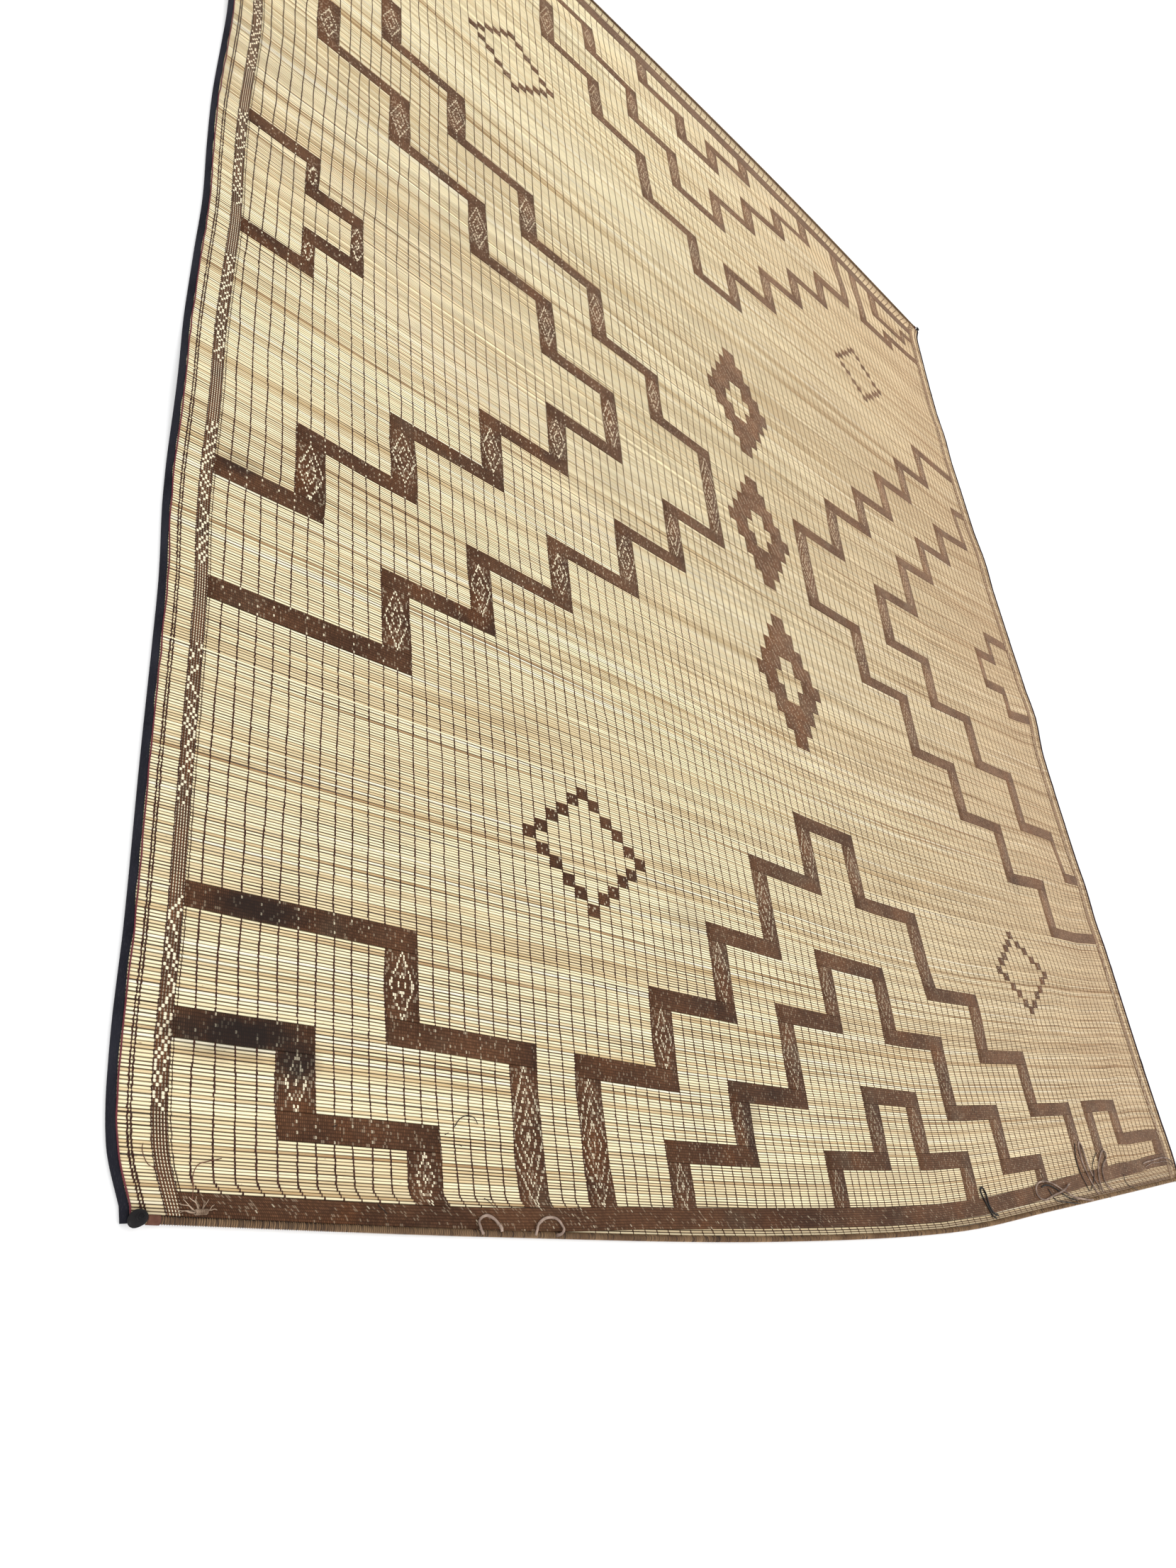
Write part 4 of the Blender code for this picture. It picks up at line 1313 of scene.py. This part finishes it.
def edge_binding(side, finish):
    """Dark cloth folded over the reeds' ends, with soft creases."""
    dice = np.random.default_rng(5 + SIDES.index(side))
    path = side_rows(side)
    reed_top = CLOTH + GAP + REED_MIDDLE + REED_HEIGHT / 2 + 0.0002
    top = reed_top + CLOTH
    fold = [(math.cos(a), math.sin(a)) for a in np.radians([-75, -40, 0, 40, 75])]
    round_out = top / 2
    outer = [(round_out * (1 - c * 0.9), round_out * (1 + s)) for c, s in fold]
    section = [(FLAP, 0.0), *outer, (FLAP * 0.45, top + 0.0003), (FLAP * 0.8, top), (FLAP, top - 0.0002),
               (FLAP, reed_top), (FLAP * 0.5, reed_top), (round_out, reed_top), (round_out * 0.55, top / 2),
               (round_out, CLOTH), (FLAP, CLOTH)]
    rows = np.repeat([section], BINDING_ROWS, axis=0)
    edge = wander(BINDING_ROWS, *CLOTH_EDGE, dice)
    puff = wander(BINDING_ROWS, *CLOTH_PUFF, dice)
    over_reeds = range(len(outer) + 1, len(outer) + 7)
    for k in over_reeds:
        rows[:, k, 0] += edge * (section[k][0] / FLAP)
        rows[:, k, 1] += np.abs(puff) * (1 if k < over_reeds[2] else 0.4)
    rings = path[:, None] + rows[..., 0, None] * (INWARDS[side], 0, 0) + rows[..., 1, None] * (0, 0, 1)
    return swept("folded_edge_cloth_" + side, rings, finish)


def edge_piping(side, finish):
    """The thin red line where the edge cloth ends."""
    dice = np.random.default_rng(8 + SIDES.index(side))
    path = side_rows(side)
    radius = PIPING / 2
    low = CLOTH + GAP + REED_MIDDLE + REED_HEIGHT / 2
    stray = wander(BINDING_ROWS, *RED_LINE_STRAY, dice)
    path[:, 0] += INWARDS[side] * (FLAP + GAP + radius + stray)
    path[:, 2] += low + radius
    beat = 1 + RED_LINE_BEAT * (np.arange(BINDING_ROWS) % 2)
    section = circle(8, radius) * beat[:, None, None]
    return swept("red_edge_line_" + side, rings_along(path, section * RED_LINE_THIN), finish)


def end_line(up, inset, count):
    """Points along one end of the mat, from the left side to the right one."""
    across = column_share(np.arange(count + 1), count)
    x, y = outline(across, float(up), 0, inset)
    return np.stack([x, y, lift(x, y, float(up))], axis=-1)


def on_line(line, x):
    """Y and Z of an end line at x."""
    return [np.interp(x, line[:, 0], line[:, k]) for k in (1, 2)]


def part_of_line(line, distance):
    """The stretch of an end line that stays a distance from both of its ends, along X."""
    low, high = line[0, 0] + distance, line[-1, 0] - distance
    inner = line[(line[:, 0] > low) & (line[:, 0] < high)]
    return np.array([(low, *on_line(line, low)), *inner, (high, *on_line(line, high))])


def ring_tree():
    """Whips a roll: a core along the line, with rings of thong close together on it."""
    graph, given = new_tree("whip_roll", {"Radius": "Float", "Pitch": "Float", "Strand": "Float",
                                          "Tilt": "Float", "Finish": "Material"})
    line = graph.level_line(given["Geometry"])
    core = graph.add("GeometryNodeCurveToMesh", None, {
        "Curve": line, "Profile Curve": graph.circle(8, given["Radius"]), "Fill Caps": True})
    points = graph.add("GeometryNodeCurveToPoints", {"mode": "LENGTH"},
                       {"Curve": line, "Length": given["Pitch"]}, out="Points")
    turns = Wire(graph, points.socket.node.outputs["Rotation"])
    ring = graph.add("GeometryNodeCurveToMesh", None, {
        "Curve": graph.circle(8, given["Radius"]), "Profile Curve": graph.circle(3, given["Strand"])})
    lean = graph.add("ShaderNodeCombineXYZ", None, {0: given["Tilt"], 1: 0.0, 2: 0.0})
    ring = graph.add("GeometryNodeTransform", None, {"Geometry": ring, "Rotation": lean})
    rings = graph.add("GeometryNodeInstanceOnPoints", None, {
        "Points": points, "Instance": ring, "Rotation": turns})
    joined = graph.add("GeometryNodeJoinGeometry", None, {0: core})
    graph.put(joined.socket.node.inputs[0], rings)
    return close_tree(graph, joined, True, given["Finish"])


def end_roll(end, tree, finish):
    """The last reeds of an end, whipped with a leather strand into a roll."""
    line = part_of_line(end_line(UP[end], ROLL / 2, 2 * FRAME_COLUMNS), ROLL_INSET)
    line[:, 2] += ROLL / 2
    piece = bare_mesh("roll_line", line, [(k, k + 1) for k in range(len(line) - 1)])
    values = {"Radius": ROLL / 2 - WHIPPING, "Pitch": WHIPPING_PITCH, "Strand": WHIPPING,
              "Tilt": WHIPPING_TILT, "Finish": finish}
    roll = grown(piece, tree, values, "whipped_roll_" + end, finish)
    places = np.zeros(len(roll.data.vertices) * 3, np.float32)
    roll.data.vertices.foreach_get("co", places)
    places = places.reshape(-1, 3) + ORIGIN
    middle_y, middle_z = on_line(line, places[:, 0])
    away = np.hypot(places[:, 1] - middle_y, places[:, 2] - middle_z)
    # How far out a point lies on the whipping. The finish uses it to paint shade on the points that lie
    # further in.
    return mark(roll, out=np.clip((away - ROLL / 2 + 2 * WHIPPING) / (2 * WHIPPING), 0, 1))


def bend(points, steps):
    """A smooth curve through the points, with a few steps to each."""
    out = []
    last = len(points) - 1
    for i in range(last):
        before, here = points[max(i - 1, 0)], points[i]
        there, after = points[i + 1], points[min(i + 2, last)]
        for k in range(steps):
            t = k / steps
            out.append(tuple(
                0.5 * (2 * b + (c - a) * t + (2 * a - 5 * b + 4 * c - d) * t * t
                       + (3 * b - a - 3 * c + d) * t ** 3)
                for a, b, c, d in zip(before, here, there, after)))
    out.append(points[last])
    return np.array(out, float)


def mat_top(x, y):
    """Height of whatever a tie lies on: the mat, or the roll at its end."""
    across = x / WIDTH
    edge = outline(across, 0.0)[1]
    ground = lift(x, y, np.maximum(y / LENGTH, 0)) + side_lift(x, 0.0) + THICKNESS
    return ground + (ROLL - THICKNESS) * ramp(edge + ROLL + GAP - y, -ROLL, 0)


def tie_path(route, radius=CORD_RADIUS):
    """The middle line of a tie that lies on the mat's end."""
    points = bend([(*point, 0)[:3] for point in route], TIE_STEPS)
    x, y = points[:, 0] * MM, points[:, 1] * MM
    z = mat_top(x, y) + 2 * GAP + radius + points[:, 2] * MM - TIE_SINK
    return np.stack([x, y, z], axis=-1)


def tie(name, route, finish, seed, radius=CORD_RADIUS, node=None):
    """A leather tie with a free end, a little flat, which twists as it goes."""
    dice = np.random.default_rng(seed)
    path = tie_path(route, radius)
    count = len(path)
    twist = wander(count, max(count // 12, 3), TIE_TWIST, dice)[:, None]
    thick = 1 + wander(count, max(count // 5, 4), TIE_UNEVEN, dice)[:, None]
    flat = circle(10, radius) * (1, TIE_FLATNESS)
    c, s = np.cos(twist), np.sin(twist)
    section = np.stack([(flat[:, 0] * c - flat[:, 1] * s) * thick,
                        (flat[:, 0] * s + flat[:, 1] * c) * thick], axis=-1)
    piece = swept(name + "_leather", rings_along(path, section), finish)
    ride(piece, "brown_leather", *([node] if node else []))


def turned(name, profile, centre, finish, segments=28, squash=1.0):
    """A round piece turned from a profile of (radius, height) round an upright axis."""
    x, y, z = centre
    points = [(x, y, z + profile[0][1])]
    for radius, height in profile[1:-1]:
        points += [(x + across, y + along * squash, z + height) for across, along in circle(segments, radius)]
    points.append((x, y, z + profile[-1][1]))
    rows = len(profile) - 2
    faces = grid_faces(rows, segments, start=1, closed=True).tolist()
    last = len(points) - 1
    for k in range(segments):
        faces.append([0, 1 + (k + 1) % segments, 1 + k])
        faces.append([last, last - segments + k, last - segments + (k + 1) % segments])
    return turn_outwards(mesh_piece(name, points, faces, finish))


def point_to_corner(knob, centre, way):
    """Draws a round cap out to a soft point on one side, like a leaf."""
    aim = math.atan2(way[1], way[0])
    middle = np.array(centre) - ORIGIN
    for v in knob.data.vertices:
        x, y = v.co.x - middle[0], v.co.y - middle[1]
        pull = max(math.cos(math.atan2(y, x) - aim), 0) ** 3 * CAP_POINT
        v.co.x += x * pull
        v.co.y += y * pull


def knob_coil(name, centre, way, inwards, finish):
    """A strand coiled on a knob's crown, a little off its middle."""
    t = np.linspace(0, 1, 60)
    angle = t * CAP_COIL_TURNS * 2 * math.pi + CAP_COIL_TURN
    radius = CAP_RADIUS * (CAP_COIL_START + CAP_COIL_GROWTH * t)
    across = way * CAP_COIL_SHIFT[0] * CAP_RADIUS + radius * np.cos(angle)
    along = inwards * CAP_COIL_SHIFT[1] * CAP_RADIUS + radius * CAP_SQUASH * np.sin(angle)
    share = np.hypot(across, along / CAP_SQUASH) / CAP_RADIUS
    crown = CAP_HEIGHT / 2 * (1 - share ** 2) ** 0.4 - 0.0001
    swirl = np.stack([across, along, crown], axis=-1) + centre
    return swept(name, rings_along(swirl, circle(6, CAP_COIL_RADIUS)), finish)


def roll_collar(name, line, corner, way, finish):
    """The winding at the end of a roll, beside the knob."""
    at = corner + way * np.linspace(ROLL_INSET + GAP, ROLL_INSET + COLLAR, 15)
    route = np.stack([at, *on_line(line, at)], axis=-1)
    route[:, 2] += ROLL / 2 + COLLAR_RISE
    ribs = 1 - COLLAR_RIB * (np.arange(len(at)) % 2)
    section = circle(12, ROLL / 2 + COLLAR_RISE) * ribs[:, None, None]
    return swept(name, rings_along(route, section), finish)


def corner_cap(end, side, leather, wrap_finish):
    """A black leather knob with a coiled top, over the end of a roll."""
    place = f"{end}_{side}"
    way, inwards = INWARDS[side], INWARDS[end]
    line = end_line(UP[end], ROLL / 2, FRAME_COLUMNS)
    corner = line[0, 0] if side == "left" else line[-1, 0]
    x = corner + way * CAP_INSET
    y, z = on_line(line, x)
    half = CAP_HEIGHT / 2
    top = CLOTH + THICKNESS + PIPING + 3 * GAP + half
    centre = (x, y + inwards * CAP_SHIFT, z + top)
    profile = [(max(CAP_RADIUS * math.cos(a), 0), math.copysign(abs(math.sin(a)) ** 0.8, a) * half)
               for a in np.radians(np.linspace(-90, 90, 15))]
    knob = turned("corner_knob_" + place, profile, centre, leather, squash=CAP_SQUASH)
    point_to_corner(knob, centre, (-way, -inwards))
    coil = knob_coil("knob_coil_" + place, centre, way, inwards, leather)
    stem = [(0, 0), (CAP_STEM_RADIUS, 0), (CAP_STEM_RADIUS * 1.1, top * 0.4), (CAP_STEM_RADIUS, top),
            (0, top)]
    post = turned("knob_stem_" + place, stem, (x, y, z), wrap_finish, segments=14)
    ride(knob, "black_leather", "corner_cap_" + place)
    ride(coil, "black_leather")
    ride(post, "black_leather")
    ride(roll_collar("roll_collar_" + place, line, corner, way, wrap_finish), "brown_leather")


def frayed_lashing(finish):
    """Loose leather strands that spread from a short bar on the mat's corner."""
    dice = np.random.default_rng(21)
    x, y, length, width, height = [v * MM for v in LASHING_BAR]
    floor = float(lift(x, y, 0.0) + side_lift(x, 0.0)) + THICKNESS + GAP
    turns = np.linspace(0, 2 * math.pi, 8, endpoint=False)
    pieces = []
    for k in range(LASHING_TURNS):
        at = x + (k - LASHING_TURNS // 2) / LASHING_TURNS * length
        ring = np.stack([at + LASHING_TURN * np.sin(turns), y + width / 2 * np.cos(turns),
                         floor + height / 2 * (1 + np.sin(turns))], axis=-1)
        pieces.append((np.concatenate([ring, ring[:1]]), LASHING_TURN))
    for i, (root, tip_x, tip_y) in enumerate(STRANDS):
        start = np.array([x + root * MM, y, floor + LASHING_ROOT * height])
        tip = np.array([tip_x * MM, tip_y * MM, floor + LASHING_TIP])
        t = np.linspace(0, 1, 12)[:, None]
        line = start + (tip - start) * t
        line[:, 2] = start[2] + (tip[2] - start[2]) * np.minimum(t[:, 0] / STRAND_FALL, 1)
        way = (tip - start) / np.linalg.norm(tip - start)
        side = np.array([-way[1], way[0], 0])
        line += side * (STRAND_BOW * np.sin(math.pi * t) * (1 if i % 2 else -1)
                        + STRAND_WAVE * np.sin(t * dice.uniform(6, 11)))
        pieces.append((line, LASHING_STRAND))
    ride(many_strands("frayed_leather_lashing", pieces, finish), "brown_leather", "frayed_lashing")


def many_strands(name, pieces, finish):
    """Several strands as one piece. Each has its points and its half width."""
    points, faces, count = [], [], 0
    for line, radius in pieces:
        rows = len(line)
        fade = 1 - STRAND_TAPER * np.linspace(0, 1, rows)[:, None, None]
        points.append(rings_along(line, circle(4, radius) * fade).reshape(-1, 3))
        faces += grid_faces(rows, 4, start=count, closed=True).tolist()
        faces.append([count + k for k in range(4)])
        faces.append([count + (rows - 1) * 4 + k for k in range(4)])
        count += rows * 4
    return turn_outwards(mesh_piece(name, np.concatenate(points), faces, finish))


def thread_ends(finish):
    """Short dark ends of thread that stick to the mat."""
    pieces = [(tie_path(route, THREAD_END_RADIUS), THREAD_END_RADIUS) for route in THREAD_ENDS]
    ride(many_strands("short_thread_ends", pieces, finish), "black_leather")


def make_camera():
    """The camera at the angle from which the mat is seen."""
    data = bpy.data.cameras.new("camera")
    data.lens = CAMERA_LENS
    data.clip_start = 0.05
    camera = placed("camera", data)
    heading, dip, roll = (math.radians(a) for a in (CAMERA_HEADING, CAMERA_DIP, CAMERA_ROLL))
    forward = Vector((math.sin(heading) * math.cos(dip), math.cos(heading) * math.cos(dip), -math.sin(dip)))
    level = Vector((math.cos(heading), -math.sin(heading), 0))
    above = level.cross(forward)
    right = level * math.cos(roll) + above * math.sin(roll)
    upward = above * math.cos(roll) - level * math.sin(roll)
    turn = Matrix((right, upward, -forward)).transposed().to_4x4()
    spot = Vector(CAMERA_SPOT) - Vector(ORIGIN)
    camera.matrix_world = Matrix.Translation(spot) @ turn
    bpy.context.scene.camera = camera


def make_studio():
    """A plain pale floor under soft light."""
    bpy.ops.mesh.primitive_plane_add(size=60, location=(0, 0, -0.0004))
    floor = bpy.context.object
    floor.name = "floor"
    floor.data.materials.append(floor_finish())
    world = bpy.data.worlds.new("studio")
    world.use_nodes = True
    sky = world.node_tree.nodes["Background"]
    sky.inputs["Color"].default_value = (1, 1, 1, 1)
    sky.inputs["Strength"].default_value = SKY_STRENGTH
    bpy.context.scene.world = world
    data = bpy.data.lights.new("key", "SUN")
    data.angle = math.radians(KEY_SPREAD)
    data.energy = KEY_STRENGTH
    key = placed("key", data)
    key.rotation_euler = (-Vector(KEY_SPOT)).to_track_quat("-Z", "Y").to_euler()
    bpy.context.scene.view_settings.view_transform = "Standard"


def lay_leather(chart):
    """Lays the bands, diamonds and checks, and gives each kind of leatherwork with its finish."""
    uprights = Leatherwork("upright_bands")
    crossbars = Leatherwork("crossbar_bands")
    diamonds = Leatherwork("stepped_diamonds")
    checks = Leatherwork("small_checks")
    ends = Leatherwork("end_bands")
    for foot, path in STEPPED_BANDS.values():
        stepped_band(path, foot, BAND_THONGS, uprights, crossbars, chart)
    for path in SIDE_STEPS.values():
        stepped_band(path, None, 1, uprights, crossbars, chart)
    stepped_diamonds(diamonds, chart)
    small_diamonds(checks, chart)
    for end in UP:
        end_band(ends, end, chart)
    uprights.patch(*CORNER_BLOCK)
    chart.cover(*CORNER_BLOCK)
    return [
        (uprights, band_finish("upright_band_leather", upright_pips, 1.1)),
        (crossbars, band_finish("crossbar_band_leather", crossbar_pips, 0.96)),
        (diamonds, band_finish("stepped_diamond_leather", diamond_pips, 1.18)),
        (checks, band_finish("check_leather", plain_pips)),
        (ends, band_finish("end_band_leather", end_band_pips, 0.9)),
    ]


def lay_thongs(chart, finish):
    """Runs all the thongs, and lays the side bands between those at the sides."""
    left, right = Stitching("thongs_left", 31), Stitching("thongs_right", 32)
    edges = Stitching("thongs_by_the_edges", 33)
    border = Leatherwork("side_band_checks")
    for t in range(1, THONGS + 1):
        (left if t <= THONGS // 2 else right).run(THONG_X[t], chart.bare(t))
    for side in SIDES:
        for k, inset in enumerate(TWIN_INSETS):
            lean = np.where(np.arange(REEDS) % 2, TWIN_LEAN, -TWIN_LEAN) * (1 if k else -1)
            edges.run(side_x(side, inset), lean=lean)
        side_band(side, border, edges)
    stitch, tree = stitch_shape(), stitch_tree()
    pieces = [work.grow(stitch, tree, finish) for work in (left, right, edges)]
    bpy.data.objects.remove(stitch, do_unlink=True)
    return pieces, (border, band_finish("side_band_leather", side_band_pips, slits=plain_rows))


def make_mat():
    brown = strap_finish("grey_brown_leather", (0.105, 0.066, 0.050), (0.40, 0.295, 0.235))
    near_black = strap_finish("near_black_leather", (0.010, 0.009, 0.009), (0.04, 0.034, 0.03), 0.5)
    black = strap_finish("black_leather", (0.005, 0.005, 0.006), (0.016, 0.014, 0.014), 0.36)
    frayed = strap_finish("frayed_leather", (0.17, 0.110, 0.072), (0.56, 0.42, 0.31), 0.7)
    red_brown = strap_finish("red_brown_leather", (0.075, 0.028, 0.018), (0.19, 0.085, 0.055))
    for k, (name, route) in enumerate(TIES.items()):
        tie(name, route, near_black if name == "tie_dark_loop" else brown, 40 + k, node=name)
    for k, (name, (half_width, *route)) in enumerate(LOOSE_STRANDS.items()):
        finish = near_black if "dark" in name else red_brown if "thread" in name else brown
        tie(name, route, finish, 60 + k, radius=half_width * MM)
    thread_ends(near_black)

    chart = Chart()
    leather = lay_leather(chart)
    thongs, border = lay_thongs(chart, thong_finish())
    cover = thongs + [work.make(finish) for work, finish in (*leather, border)]
    for piece in cover:
        ride(piece, "brown_leather")
    reeds = make_reeds(reed_finish())
    ride(reeds, "reed", "reed_panel")

    cloth, red = cloth_finish(), red_finish()
    for side in SIDES:
        binding = edge_binding(side, cloth)
        ride(binding, "edge_cloth", "edge_binding_" + side)
        ride(edge_piping(side, red), "red_leather", "edge_piping_" + side)
    tree, whipping = ring_tree(), whipping_finish()
    for end in UP:
        ride(end_roll(end, tree, whipping), "brown_leather", "end_roll_" + end)
        for side in SIDES:
            corner_cap(end, side, black, red_brown)
    frayed_lashing(frayed)


make_camera()
make_studio()
make_mat()
